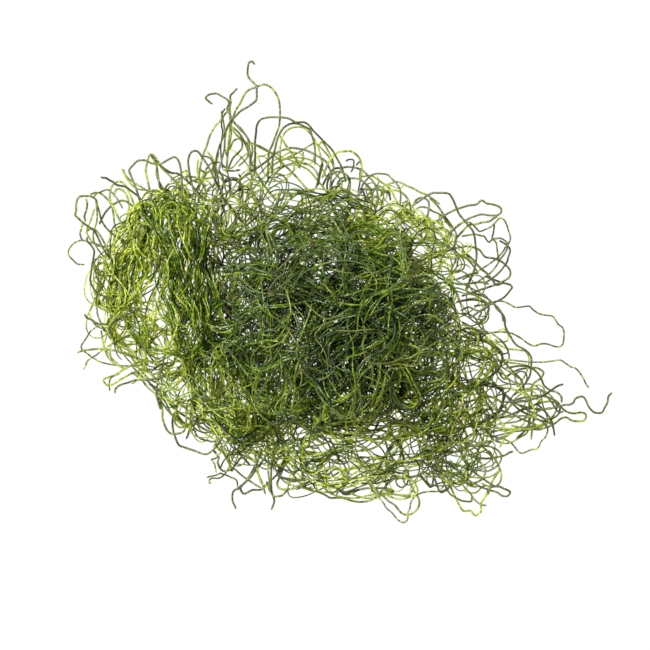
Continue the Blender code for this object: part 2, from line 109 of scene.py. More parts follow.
# %% [markdown]
# ## The wet filament
# A living filament is a clear cell wall filled with green. Light that falls on it is partly
# thrown back and partly passes through, which turns it a brighter yellow-green, so the finish
# mixes a glossy wet surface with a translucent one. Each strand brings its number, a count of
# cells along it, its tone from near black to yellow-green, how strongly its cells differ, and
# how much bloom lies on it, which is partly a pale bloom and partly a painted sheen of the light
# from above. The cross wall between two cells shows as a thin dark ring. Each cell has its own
# depth of green, because some are fuller than others. In the middle of the clump the bloom is
# greyer, as painted shade and a cool painted sheen there.

# %% Finish of a wet filament
CELL_LENGTH = 0.52 * MM
WALL_SHARE = 0.16
WALL_DARKNESS = 0.28
PATCH_SIZE = 9 * MM
PATCH_NOISE = (0.3, 0.7)
PATCH_CONTRAST = 0.12
SWELLING_DEPTH = 0.08 * MM
SWELLING_STRENGTH = 0.12
ROUGHNESS = 0.22
CELL_IOR = 1.42
GLOSS = 0.5
SHARE_SEEN_THROUGH = 0.6
TONES = [
    (0.00, "#141E09"),
    (0.16, "#1C330A"),
    (0.34, "#33520F"),
    (0.52, "#4E6B1B"),
    (0.72, "#758529"),
    (0.88, "#909C3C"),
    (1.00, "#A9B45C"),
]
LIT_TONES = [
    (0.00, "#22280D"),
    (0.16, "#404810"),
    (0.34, "#6C7716"),
    (0.52, "#9DA61F"),
    (0.72, "#C8C93A"),
    (0.88, "#D6DE5C"),
    (1.00, "#E6EA7C"),
]
# Bloom colours: a pale bloom mixed with painted sheen, and a greyer one that paints shade and cool sheen in
# the middle of the clump.
BLOOM_AND_SHEEN_COLOUR = "#A29860"
CORE_SHADE_AND_SHEEN_COLOUR = "#8E9376"


def fill_ramp(node, stops):
    """Give a colour ramp these stops."""
    ramp = node.color_ramp
    while len(ramp.elements) < len(stops):
        ramp.elements.new(1.0)
    for element, (place, colour) in zip(ramp.elements, stops):
        element.position = place
        element.color = linear(colour)


def wet_filament(name, bloom_and_sheen_colour):
    """Glossy over translucent green, cell by cell."""
    material = bpy.data.materials.new(name)
    material.use_nodes = True
    tree = material.node_tree
    tree.nodes.clear()
    tone, contrast, cells, strand, bloom = (
        add_node(tree, "ShaderNodeAttribute", {"attribute_name": label}).outputs["Fac"]
        for label in ("tone", "contrast", "cells", "strand", "bloom"))

    index = add_node(tree, "ShaderNodeMath", {"operation": "FLOOR"}, _0=cells).outputs[0]
    within = add_node(tree, "ShaderNodeMath", {"operation": "FRACT"}, _0=cells).outputs[0]
    pair = add_node(tree, "ShaderNodeCombineXYZ", X=index, Y=strand).outputs[0]
    fill = add_node(tree, "ShaderNodeTexWhiteNoise", {"noise_dimensions": "2D"}, Vector=pair)
    varied = add_node(tree, "ShaderNodeMath", {"operation": "SUBTRACT"}, _0=fill.outputs["Value"], _1=0.5)
    swing = add_node(tree, "ShaderNodeMath", {"operation": "MULTIPLY"}, _0=varied.outputs[0], _1=contrast)

    # Distance from the middle of the cell, 0 there and a half at the cross walls
    side = add_node(tree, "ShaderNodeMath", {"operation": "SUBTRACT"}, _0=within, _1=0.5).outputs[0]
    far = add_node(tree, "ShaderNodeMath", {"operation": "ABSOLUTE"}, _0=side).outputs[0]
    wall = add_node(tree, "ShaderNodeMapRange", {"interpolation_type": "SMOOTHSTEP"}, Value=far,
                    From_Min=0.5 - WALL_SHARE, From_Max=0.5, To_Min=0.0,
                    To_Max=WALL_DARKNESS).outputs[0]

    place = add_node(tree, "ShaderNodeTexCoord").outputs["Object"]
    noise = add_node(tree, "ShaderNodeTexNoise", Vector=place, Scale=1 / PATCH_SIZE, Detail=2.0)
    patches = add_node(tree, "ShaderNodeMapRange", Value=noise.outputs["Fac"], From_Min=PATCH_NOISE[0],
                       From_Max=PATCH_NOISE[1], To_Min=-PATCH_CONTRAST, To_Max=PATCH_CONTRAST).outputs[0]
    shade = add_node(tree, "ShaderNodeMath", {"operation": "ADD"}, _0=tone, _1=swing.outputs[0])
    shade = add_node(tree, "ShaderNodeMath", {"operation": "ADD"}, _0=shade.outputs[0], _1=patches)
    shade = add_node(tree, "ShaderNodeMath", {"operation": "SUBTRACT", "use_clamp": True},
                     _0=shade.outputs[0], _1=wall).outputs[0]

    # Both colours are mixed towards the bloom colour, which adds pale bloom and painted sheen.
    tones_with_bloom_and_sheen = []
    for tones in (TONES, LIT_TONES):
        ramp = add_node(tree, "ShaderNodeValToRGB", Fac=shade)
        fill_ramp(ramp, tones)
        tones_with_bloom_and_sheen.append(add_node(tree, "ShaderNodeMixRGB", Fac=bloom, Color1=ramp.outputs["Color"],
                              Color2=linear(bloom_and_sheen_colour)).outputs[0])

    swelling = add_node(tree, "ShaderNodeMath", {"operation": "SUBTRACT"}, _0=1.0, _1=far).outputs[0]
    bump = add_node(tree, "ShaderNodeBump", Strength=SWELLING_STRENGTH, Distance=SWELLING_DEPTH,
                    Height=swelling)
    skin = add_node(tree, "ShaderNodeBsdfPrincipled", Base_Color=tones_with_bloom_and_sheen[0], Roughness=ROUGHNESS,
                    IOR=CELL_IOR, Specular_IOR_Level=GLOSS, Normal=bump.outputs["Normal"])
    glow = add_node(tree, "ShaderNodeBsdfTranslucent", Color=tones_with_bloom_and_sheen[1])
    mixed = add_node(tree, "ShaderNodeMixShader", _0=SHARE_SEEN_THROUGH, _1=skin.outputs[0],
                     _2=glow.outputs[0])
    add_node(tree, "ShaderNodeOutputMaterial", Surface=mixed.outputs[0])
    return material


WET_FILAMENT = wet_filament("wet algae filament", BLOOM_AND_SHEEN_COLOUR)
# In the middle of the clump a greyer, cooler bloom paints the shade and the cool sheen of the light from
# above.
SHADED_CORE_FILAMENT = wet_filament("wet algae filament with painted core shade", CORE_SHADE_AND_SHEEN_COLOUR)
print("cells are", CELL_LENGTH / MM, "mm long")

# %% [markdown]
# ## A filament along a line
# A filament follows a path and repeats a cell, which is a job for Geometry Nodes. The tree
# takes plain lines, measures along them, counts cells, and draws a round tube that is pinched
# at every cross wall and rounded at both tips. Its sizes are inputs, so that single filaments
# can be thicker than those deep in the clump.

# %% The tree that turns lines into beaded filaments
SEED = 13
CELL_SPREAD = (0.8, 1.3)
GIRTH_SPREAD = (0.85, 1.12)
WALL_SHARPNESS = 4.0
TIP_LENGTH = 0.45 * MM
TIP_GIRTH = 0.4


def filament_tree():
    """Lines in, beaded filaments out."""
    tree = bpy.data.node_groups.new("beaded filament", "GeometryNodeTree")
    ports = tree.interface
    ports.new_socket("Lines", in_out="INPUT", socket_type="NodeSocketGeometry")
    for name in ("Diameter", "Cell length", "Step", "Pinch"):
        ports.new_socket(name, in_out="INPUT", socket_type="NodeSocketFloat")
    for name in ("Sides", "Seed"):
        ports.new_socket(name, in_out="INPUT", socket_type="NodeSocketInt")
    ports.new_socket("Finish", in_out="INPUT", socket_type="NodeSocketMaterial")
    ports.new_socket("Filaments", in_out="OUTPUT", socket_type="NodeSocketGeometry")
    given = add_node(tree, "NodeGroupInput").outputs

    lines = add_node(tree, "GeometryNodeMeshToCurve", Mesh=given["Lines"]).outputs["Curve"]
    fine = add_node(tree, "GeometryNodeResampleCurve", {"mode": "LENGTH"}, Curve=lines,
                    Length=given["Step"]).outputs["Curve"]
    strand = add_node(tree, "GeometryNodeInputNamedAttribute", {"data_type": "INT"}, Name="strand")
    spread = add_node(tree, "FunctionNodeRandomValue", {"data_type": "FLOAT"}, _2=CELL_SPREAD[0],
                      _3=CELL_SPREAD[1], ID=strand.outputs["Attribute"], Seed=given["Seed"]).outputs[1]
    cell = add_node(tree, "ShaderNodeMath", {"operation": "MULTIPLY"}, _0=spread, _1=given["Cell length"])
    along = add_node(tree, "GeometryNodeSplineParameter").outputs["Length"]
    cells = add_node(tree, "ShaderNodeMath", {"operation": "DIVIDE"}, _0=along,
                     _1=cell.outputs[0]).outputs[0]
    counted = add_node(tree, "GeometryNodeStoreNamedAttribute", {"data_type": "FLOAT", "domain": "POINT"},
                       Geometry=fine, Name="cells", Value=cells).outputs["Geometry"]

    # The tube is full in the middle of a cell and pinched at its cross walls.
    turn = add_node(tree, "ShaderNodeMath", {"operation": "MULTIPLY"}, _0=cells, _1=math.pi).outputs[0]
    wave = add_node(tree, "ShaderNodeMath", {"operation": "COSINE"}, _0=turn).outputs[0]
    wall = add_node(tree, "ShaderNodeMath", {"operation": "POWER"}, _0=wave,
                    _1=WALL_SHARPNESS).outputs[0]
    loss = add_node(tree, "ShaderNodeMath", {"operation": "MULTIPLY"}, _0=wall, _1=given["Pinch"]).outputs[0]
    swell = add_node(tree, "ShaderNodeMath", {"operation": "SUBTRACT"}, _0=1.0, _1=loss).outputs[0]

    # Both tips are round.
    whole = add_node(tree, "GeometryNodeSplineLength").outputs["Length"]
    rest = add_node(tree, "ShaderNodeMath", {"operation": "SUBTRACT"}, _0=whole, _1=along).outputs[0]
    nearer = add_node(tree, "ShaderNodeMath", {"operation": "MINIMUM"}, _0=along, _1=rest).outputs[0]
    tip = add_node(tree, "ShaderNodeMapRange", {"interpolation_type": "SMOOTHSTEP"}, Value=nearer,
                   From_Min=0.0, From_Max=TIP_LENGTH, To_Min=TIP_GIRTH, To_Max=1.0).outputs[0]
    thick = add_node(tree, "ShaderNodeMath", {"operation": "MULTIPLY"}, _0=swell, _1=tip).outputs[0]

    girth = add_node(tree, "FunctionNodeRandomValue", {"data_type": "FLOAT"}, _2=GIRTH_SPREAD[0],
                     _3=GIRTH_SPREAD[1], ID=strand.outputs["Attribute"], Seed=given["Seed"]).outputs[1]
    thick = add_node(tree, "ShaderNodeMath", {"operation": "MULTIPLY"}, _0=thick, _1=girth).outputs[0]
    radius = add_node(tree, "ShaderNodeMath", {"operation": "DIVIDE"}, _0=given["Diameter"], _1=2.0)
    ring = add_node(tree, "GeometryNodeCurvePrimitiveCircle", {"mode": "RADIUS"}, Resolution=given["Sides"],
                    Radius=radius.outputs[0]).outputs["Curve"]
    tubes = add_node(tree, "GeometryNodeCurveToMesh", Curve=counted, Profile_Curve=ring, Scale=thick,
                     Fill_Caps=True).outputs["Mesh"]
    smooth = add_node(tree, "GeometryNodeSetShadeSmooth", Geometry=tubes).outputs["Geometry"]
    real = add_node(tree, "GeometryNodeRealizeInstances", Geometry=smooth).outputs["Geometry"]
    done = add_node(tree, "GeometryNodeSetMaterial", Geometry=real, Material=given["Finish"])
    add_node(tree, "NodeGroupOutput", Filaments=done.outputs["Geometry"])
    return tree


FILAMENT_TREE = filament_tree()
print("nodes in the filament tree:", len(FILAMENT_TREE.nodes))

# %% [markdown]
# ## From lines to a finished piece
# The lines of a piece go into one mesh of loose edges, which can carry attributes for each
# strand. The tree runs on it as a modifier, and its result is kept as a plain mesh. Each strand
# then gets its own strip of the piece's UV map, so that a texture made from this finish keeps
# its cells sharp. Deep in the clump filaments look thinner than at its edge, so they are drawn
# finer there, and plain, because their pinches are too small to be seen.

# %% Lines, strips and pieces
Strand = namedtuple("Strand", "points tone contrast bloom")
STRIP_MAP = "OFBake"
STRIP_MARGIN = 0.05
Fineness = namedtuple("Fineness", "diameter step sides pinch")
SINGLE = Fineness(0.9 * FILAMENT_DIAMETER, 0.19 * MM, 6, 0.18)
FINER = Fineness(0.72 * FILAMENT_DIAMETER, 0.19 * MM, 5, 0.18)
THIN = Fineness(0.36 * MM, 0.22 * MM, 5, 0.12)
DEEP = Fineness(0.37 * MM, 0.85 * MM, 5, 0.0)


def lines_mesh(name, strands):
    """One mesh of loose edges that holds every strand's line and its attributes."""
    counts = [len(strand.points) for strand in strands]
    places = np.concatenate([np.asarray(strand.points, float) for strand in strands])
    ends = np.cumsum(counts) - 1
    first = np.setdiff1d(np.arange(len(places)), ends)
    mesh = bpy.data.meshes.new(name)
    mesh.vertices.add(len(places))
    mesh.vertices.foreach_set("co", places.ravel())
    mesh.edges.add(len(first))
    mesh.edges.foreach_set("vertices", np.stack([first, first + 1], 1).ravel())
    for label in ("tone", "contrast", "bloom"):
        values = [np.broadcast_to(getattr(strand, label), len(strand.points)) for strand in strands]
        values = np.concatenate(values)
        mesh.attributes.new(label, "FLOAT", "POINT").data.foreach_set("value", values)
    numbers = np.repeat(np.arange(len(strands)), counts)
    mesh.attributes.new("strand", "INT", "POINT").data.foreach_set("value", numbers)
    return mesh


def lay_strips(mesh, sides):
    """A UV map with one strip for each strand: its length across, its girth up."""
    values = {}
    for label, kind in (("cells", float), ("strand", int)):
        values[label] = np.zeros(len(mesh.vertices), kind)
        mesh.attributes[label].data.foreach_get("value", values[label])
    corners = np.zeros(len(mesh.loops), int)
    mesh.loops.foreach_get("vertex_index", corners)
    starts = np.zeros(len(mesh.polygons), int)
    mesh.polygons.foreach_get("loop_start", starts)
    face = np.searchsorted(starts, np.arange(len(corners)), side="right") - 1
    around = corners % sides
    highest = np.maximum.reduceat(around, starts)[face]
    around = np.where((around == 0) & (highest == sides - 1), sides, around)
    rows = values["strand"].max() + 1
    across = values["cells"][corners] / values["cells"].max()
    up = (values["strand"][corners] + STRIP_MARGIN + (1 - 2 * STRIP_MARGIN) * around / sides) / rows
    strips = mesh.uv_layers.new(name=STRIP_MAP)
    strips.uv.foreach_set("vector", np.stack([across, up], 1).ravel())


def finish_piece(name, strands, fineness, slot, *nodes, finish=WET_FILAMENT):
    """Draw the strands as one piece, which may stand for nodes of the frame."""
    holder = bpy.data.objects.new(name, lines_mesh(name, strands))
    bpy.context.scene.collection.objects.link(holder)
    modifier = holder.modifiers.new("filaments", "NODES")
    modifier.node_group = FILAMENT_TREE
    values = {"Diameter": fineness.diameter, "Cell length": CELL_LENGTH, "Step": fineness.step,
              "Pinch": fineness.pinch, "Sides": fineness.sides, "Seed": SEED, "Finish": finish}
    for item in FILAMENT_TREE.interface.items_tree:
        if item.name in values:
            modifier[item.identifier] = values[item.name]
    bpy.context.view_layer.update()
    graph = bpy.context.evaluated_depsgraph_get()
    mesh = bpy.data.meshes.new_from_object(holder.evaluated_get(graph))
    bpy.data.objects.remove(holder)
    mesh.name = name
    lay_strips(mesh, fineness.sides)
    piece = bpy.data.objects.new(name, mesh)
    bpy.context.scene.collection.objects.link(piece)
    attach(piece, "root")
    if nodes:
        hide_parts(*nodes)
    return piece


triangle_counts = {}


def triangles(piece):
    """How many triangles a piece has."""
    piece.data.calc_loop_triangles()
    triangle_counts[piece.name] = len(piece.data.loop_triangles)
    return triangle_counts[piece.name]


print("single filaments:", SINGLE, "deep filaments:", DEEP)

# %% [markdown]
# ## The single filaments
# At its edge the clump opens into loops, hooks and tips that can be followed one by one. Each
# route is chosen along the filament in the photograph. Some filaments are near black,
# some grey-green, some a clear yellow-green, and in some the full and the empty cells follow each
# other like dark and pale dashes, so a look is named for each. Those called sunken lie over the
# middle. The routes are written as text: the name of a node of the frame, a look, the heights in
# millimetres at the start, the middle and the end, and then the points. Both ends run on into the
# clump. These are the routes of the frame's own stray nodes, so each finished filament lies where
# its solid does.

# %% Looks of single filaments, and how a route is read
Look = namedtuple("Look", "tone contrast bloom")
LOOKS = {
    "near_black": Look(0.05, 0.36, 0.12),
    "dashed": Look(0.26, 0.95, 0.2),
    "grey_green": Look(0.22, 0.42, 0.2),
    "dark_green": Look(0.31, 0.40, 0.13),
    "olive": Look(0.47, 0.40, 0.13),
    "fresh_green": Look(0.63, 0.36, 0.09),
    # pale_grey is a painted highlight: the light from above where it catches filaments on top.
    "pale_grey": Look(0.40, 0.22, 0.25),
    "sunken": Look(0.36, 0.24, 0.05),
}


def read_routes(text):
    """The filaments in a text. Each has its words, such as its look, and then its points."""
    found = []
    for entry in text.split():
        x, comma, y = entry.partition(",")
        if comma:
            found[-1][1].append((int(x), int(y)))
        elif found and not found[-1][1]:
            found[-1][0].append(entry)
        else:
            found.append(([entry], []))
    return found


print("looks:", ", ".join(LOOKS))

# %% Routes of the filaments that stray out of the clump
STRAYS = """
top_hook dark_green 14 26 10 255,65 252,62 249,64 248,70 248,76 250,80 255,85 257,88 257,93 257,100
    255,103 248,108 241,112 236,117 233,120 229,125 226,131 223,138 219,148 216,160 215,175
tall_arch olive 10 19 12 226,172 228,150 230,130 233,118 236,110 240,104 244,96 248,91 255,88 260,86
    265,85 271,88 276,94 279,101 280,109 280,118 279,127 276,135 272,146 269,153 268,168 268,182
left_hook grey_green 4 10 12 212,103 208,100 205,97 208,94 212,93 217,93 222,96 227,99 229,103 227,108
    230,115 234,122 240,129 247,137 249,146 250,160 250,175
left_slope olive 7 6 7 231,99 229,107 224,114 220,120 215,125 212,130 209,136 206,146 203,153 200,165
    198,180
second_arch dark_green 8 26 10 254,175 255,160 255,143 256,134 257,126 261,120 269,118 278,118 288,119
    296,123 304,123 309,126 313,131 318,136 325,143 332,150 336,157 342,168 346,182
dark_arch grey_green 14 14 13 272,175 273,158 275,150 277,141 280,134 284,128 291,124 298,124 305,127
    310,130 312,136 314,143 315,150 315,165
shoulder_strand grey_green 12 16 6 412,206 430,194 438,193 444,193 449,194 452,198 454,202 456,207
    459,214 463,219 469,226 473,231 475,238 476,247 477,256 474,272 466,290
upper_right_loop grey_green 7 9 5 430,226 450,212 466,206 470,205 477,204 482,200 487,203 493,204
    499,206 502,209 501,213 497,215 490,215 482,214 475,216 468,219 458,226 444,238
right_frill dashed 8 4 9 440,246 454,229 459,224 465,222 470,222 474,225 477,228 480,231 486,229 492,226
    496,222 500,218 504,219 507,224 509,230 511,237 510,242 506,247 503,252 495,260 480,270 462,280
right_crook dark_green 6 10 5 450,250 466,246 479,249 483,254 486,257 493,258 499,260 504,263 510,269
    511,274 509,278 504,281 495,285 480,290 462,296
big_right_loop dashed 9 4 6 480,306 492,302 502,301 510,304 515,307 521,307 530,306 533,309 537,312
    541,314 546,315 553,316 556,319 559,324 563,327 565,331 565,337 564,344 560,347 554,346 548,344
    542,344 535,346 528,343 523,339 516,335 511,333 500,332 486,334
right_bend grey_green 12 13 4 470,318 491,304 497,309 503,315 505,320 505,325 507,330 511,337 514,342
    518,346 524,349 529,353 532,358 532,366 530,378 520,392
sweeping_strand dashed 8 17 12 478,366 490,362 502,360 510,360 520,361 531,362 543,362 552,361 560,360
    565,363 571,367 575,368 579,372 583,378 586,384 589,388
wavy_tail grey_green 6 11 3 516,404 534,409 550,409 558,407 566,405 570,405 574,403 576,399 580,397
    584,397 587,401 589,406 592,410 596,413 603,413 606,408 609,403 610,397 614,393
right_hairpin olive 3 2 3 520,412 540,404 553,402 561,406 565,410 570,413 576,414 584,413 588,416
    586,421 580,422 573,421 568,418 563,419 559,422 555,425 545,429 530,430 512,426
right_barb near_black 9 12 15 504,402 518,402 530,400 542,396 550,391 557,386 563,384
right_zigzag grey_green 10 7 8 506,368 520,366 530,367 538,373 542,379 545,386 552,391 557,392 562,397
    562,403
right_drop fresh_green 8 12 6 512,388 526,396 534,408 534,419 533,427 532,440
low_right_wave dashed 9 3 6 505,418 524,416 540,420 548,428 548,433 546,438 542,442 540,447 537,450
    533,450 528,452 523,454 519,452 516,448 510,442 498,438 484,436
low_right_beak grey_green 7 8 4 468,456 485,459 495,458 505,456 510,453 514,452
bottom_right_wave fresh_green 4 2 6 440,474 450,486 455,496 457,500 460,506 464,512 468,512 472,512
    474,515 477,517 480,514 482,513 482,508 482,504 485,500 488,494 491,489 492,485 494,481 497,476
    500,471 499,465 494,458 484,448 472,440
bean_loop dark_green 6 10 4 462,458 474,472 486,481 492,485 496,487 500,487 504,489 509,491 511,493
    509,496 506,497 502,496 498,493 491,491 480,487 468,480 456,468
dark_bottom_loop dashed 6 12 6 358,470 372,488 380,499 384,504 387,509 392,513 396,518 399,521 403,523
    406,522 408,519 408,513 410,509 411,503 414,498 418,495 423,493 430,492 437,492 444,491 450,486
    452,476 450,462
green_bottom_loop olive 5 1 4 366,478 376,490 385,498 389,502 395,506 399,511 403,515 409,516 414,514
    418,510 420,505 419,499 415,493 413,489 410,482 408,470
bottom_line olive 3 2 4 286,466 298,482 307,490 313,492 318,493 325,496 330,499 335,499 341,499 346,500
    352,502 358,503 363,503 369,502 375,499 382,492 390,482 396,470
left_drop dark_green 10 7 3 274,446 272,460 271,472 271,487 272,494 274,501 273,506 271,511
curl_down dark_green 6 10 4 270,448 262,462 253,474 246,482 241,486 237,489 233,492 232,496 232,500
    233,504 235,508 235,510
low_hammock dark_green 4 2 4 262,452 254,468 247,480 242,486 240,490 242,494 244,495 248,493 252,491
    259,491 263,489 268,484 278,474 290,460
low_left_curl dashed 10 6 8 216,473 215,468 214,464 211,460 215,459 219,455 223,448 230,438 238,428
ring_strand dashed 10 2 4 242,440 236,452 231,462 227,471 222,477 218,479 214,479 211,479 208,482
    209,484 211,484
low_swoop dark_green 3 1 7 178,404 172,418 172,430 175,440 178,446 183,448 189,450 195,452 200,454
    205,455 208,454 212,451 216,447 222,438 230,426
low_loop olive 8 7 10 160,384 160,398 162,411 162,418 164,425 167,431 171,434 177,434 183,432 185,427
    186,421 186,412 188,400
low_left_spike near_black 3 3 4 185,440 187,436 189,430 193,424 197,419 204,410 212,398
left_whisker olive 6 11 10 76,353 81,351 88,350 96,349 104,349 109,350 116,351 124,354 136,358 150,362
left_kite dashed 7 4 5 128,318 116,322 104,324 94,328 89,332 86,337 82,343 80,346 81,350 85,353 89,356
    95,360 99,362 106,364 112,365 120,366 134,366 148,364
dark_whisker near_black 10 13 12 84,314 87,318 92,320 96,323 102,324 108,324 116,321 128,314 140,308
small_whisker dashed 10 10 8 83,370 85,366 87,361 91,358 96,355 101,351 110,345 124,338 138,332
left_paperclip fresh_green 8 2 3 148,358 134,364 122,370 118,373 112,376 106,378 102,380 104,384 107,386
    111,385 116,382 121,379 130,374 146,368
lower_hook dark_green 4 6 9 114,394 114,390 118,386 123,384 127,383 132,381 137,380 146,380 158,378
    170,374
far_left_curl dashed 9 8 3 136,262 120,254 106,248 96,244 88,242 82,240 77,241 73,243 70,246 68,249
    67,253 69,257 71,259 75,263 78,264 83,264
left_bow grey_green 14 12 8 88,237 87,239 88,242 91,245 94,250 94,255 92,265 91,273 90,280 92,286 96,292
    101,295 106,297 112,298 122,304 134,312
big_left_loop dark_green 8 16 6 118,270 108,256 102,247 97,236 94,231 89,227 83,223 79,219 75,215 76,211
    76,205 77,200 79,197 82,196 86,196 90,196 94,198 96,200 97,205 99,212 100,217 103,224 110,232
    122,240 134,246
left_tip near_black 14 12 10 101,177 103,178 106,178 109,180 113,182 117,185 122,186 126,187 130,190
    134,193 138,196 140,199 143,206 146,218 148,230
left_hoop fresh_green 6 4 5 128,236 120,222 114,210 109,198 109,192 110,187 113,183 116,181 120,181
    123,183 127,189 130,196 134,206 140,218
upper_left_wave grey_green 12 10 12 144,214 139,198 136,188 133,181 131,176 129,170 133,165 137,161
    143,160 147,161 151,163 157,164 162,163 169,159 175,157 179,162 181,172 182,188 182,204
upper_left_peak olive 7 4 8 152,206 149,190 147,180 145,171 146,163 148,156 150,153 154,156 157,160
    160,166 166,172 174,180 184,190 194,200
upper_notch grey_green 8 12 8 196,196 191,182 189,171 188,160 191,152 197,151 202,157 208,166 214,178
    220,190
crown_loop sunken 26 54 26 288,304 292,290 304,274 324,265 346,262 368,268 384,282 391,298 392,314
right_crown_loop sunken 22 44 22 396,344 398,332 410,319 428,315 443,325 448,341 440,356 430,364
left_crown_loop sunken 14 36 16 152,256 150,240 157,223 172,214 188,220 196,236 199,254
low_crown_loop sunken 15 38 16 206,376 206,360 216,346 232,343 246,353 250,370 246,386
top_crown_loop sunken 16 40 18 262,222 262,206 270,191 285,184 302,190 310,205 310,220
bottom_crown_loop olive 12 30 13 330,420 332,434 343,446 361,450 379,444 388,430 388,418
"""
print("stray filaments:", len(read_routes(STRAYS)))

# %% [markdown]
# ## From a route to a path
# A route is a handful of points, and a filament is a smooth curve through them. Where two
# filaments cross, the later one is lifted over the earlier one, as it would be if they had
# been laid down in turn.

# %% Smooth paths that pass over each other
SAMPLE = 0.0004
CROSSING_GAP = 0.00055
LIFT_REACH = 0.004
LIFT_ROUNDS = 6
SETTLED = 1e-6
MM_PER_METRE = 1000


def smooth_path(points, spacing):
    """Even points along a smooth curve through the given ones."""
    points = np.asarray(points, float)
    padded = np.vstack([2 * points[0] - points[1], points, 2 * points[-1] - points[-2]])
    fine = []
    for before, start, end, after in zip(padded, padded[1:], padded[2:], padded[3:]):
        steps = max(2, math.ceil(np.linalg.norm(end - start) / (spacing * 0.5)))
        t = (np.arange(steps) / steps)[:, None]
        fine.append(0.5 * (2 * start + (end - before) * t
                           + (2 * before - 5 * start + 4 * end - after) * t ** 2
                           + (3 * start - before - 3 * end + after) * t ** 3))
    fine = np.vstack([*fine, points[-1:]])
    lengths = np.concatenate([[0.0], np.cumsum(np.linalg.norm(np.diff(fine, axis=0), axis=1))])
    even = np.linspace(0, lengths[-1], max(2, round(lengths[-1] / spacing)) + 1)
    return np.stack([np.interp(even, lengths, fine[:, axis]) for axis in range(3)], 1)


def stray_path(heights, route):
    """A stray's own path, before it meets the others."""
    start, middle, end = heights
    points = []
    for index, pixel in enumerate(route):
        t = index / (len(route) - 1)
        height = start * (1 - t) ** 2 + 2 * middle * t * (1 - t) + end * t ** 2
        points.append((*plan(pixel), height))
    return smooth_path(points, SAMPLE)


def lift_over(path, laid):
    """Lift a filament where it crosses those already laid, so that it passes over them."""
    apart = FILAMENT_DIAMETER + CROSSING_GAP
    spread = round(LIFT_REACH / SAMPLE)
    path = path.copy()
    for _ in range(LIFT_ROUNDS):
        flat = np.linalg.norm(path[:, None, :2] - laid[None, :, :2], axis=2)
        rise = laid[None, :, 2] - path[:, None, 2]
        touching = (flat < apart) & (np.abs(rise) < apart)
        needed = np.where(touching, rise + apart, 0.0).max(axis=1)
        if needed.max() < SETTLED:
            break
        lifts = needed.copy()
        for shift in range(-spread, spread + 1):
            share = (1 - (shift / spread) ** 2) ** 2
            moved = np.roll(needed, shift)
            if shift > 0:
                moved[:shift] = 0
            if shift < 0:
                moved[shift:] = 0
            lifts = np.maximum(lifts, moved * share)
        path[:, 2] += lifts
    return path


strays = []
laid = np.zeros((0, 3))
for (name, look, *heights), route in read_routes(STRAYS):
    path = stray_path([int(height) / MM_PER_METRE for height in heights], route)
    if len(laid):
        path = lift_over(path, laid)
    strays.append((name, look, path))
    laid = np.vstack([laid, path])
print("single filament laid, in metres:", round(len(laid) * SAMPLE, 2))

# %% [markdown]
# ## The stray filaments
# Each single filament is a piece of its own and stands for its own node of the frame. The dashed
# ones are a little finer than the others, and those that lie over the middle are the finest.

# %% Draw the stray filaments
stray_triangles = 0
for name, look, path in strays:
    fineness = {"sunken": THIN, "dashed": FINER}.get(look, SINGLE)
    strand = Strand(path, *LOOKS[look])
    piece = finish_piece(name + "_filament", [strand], fineness, "stray_filaments", name)
    stray_triangles += triangles(piece)
print("triangles in the strays:", stray_triangles)
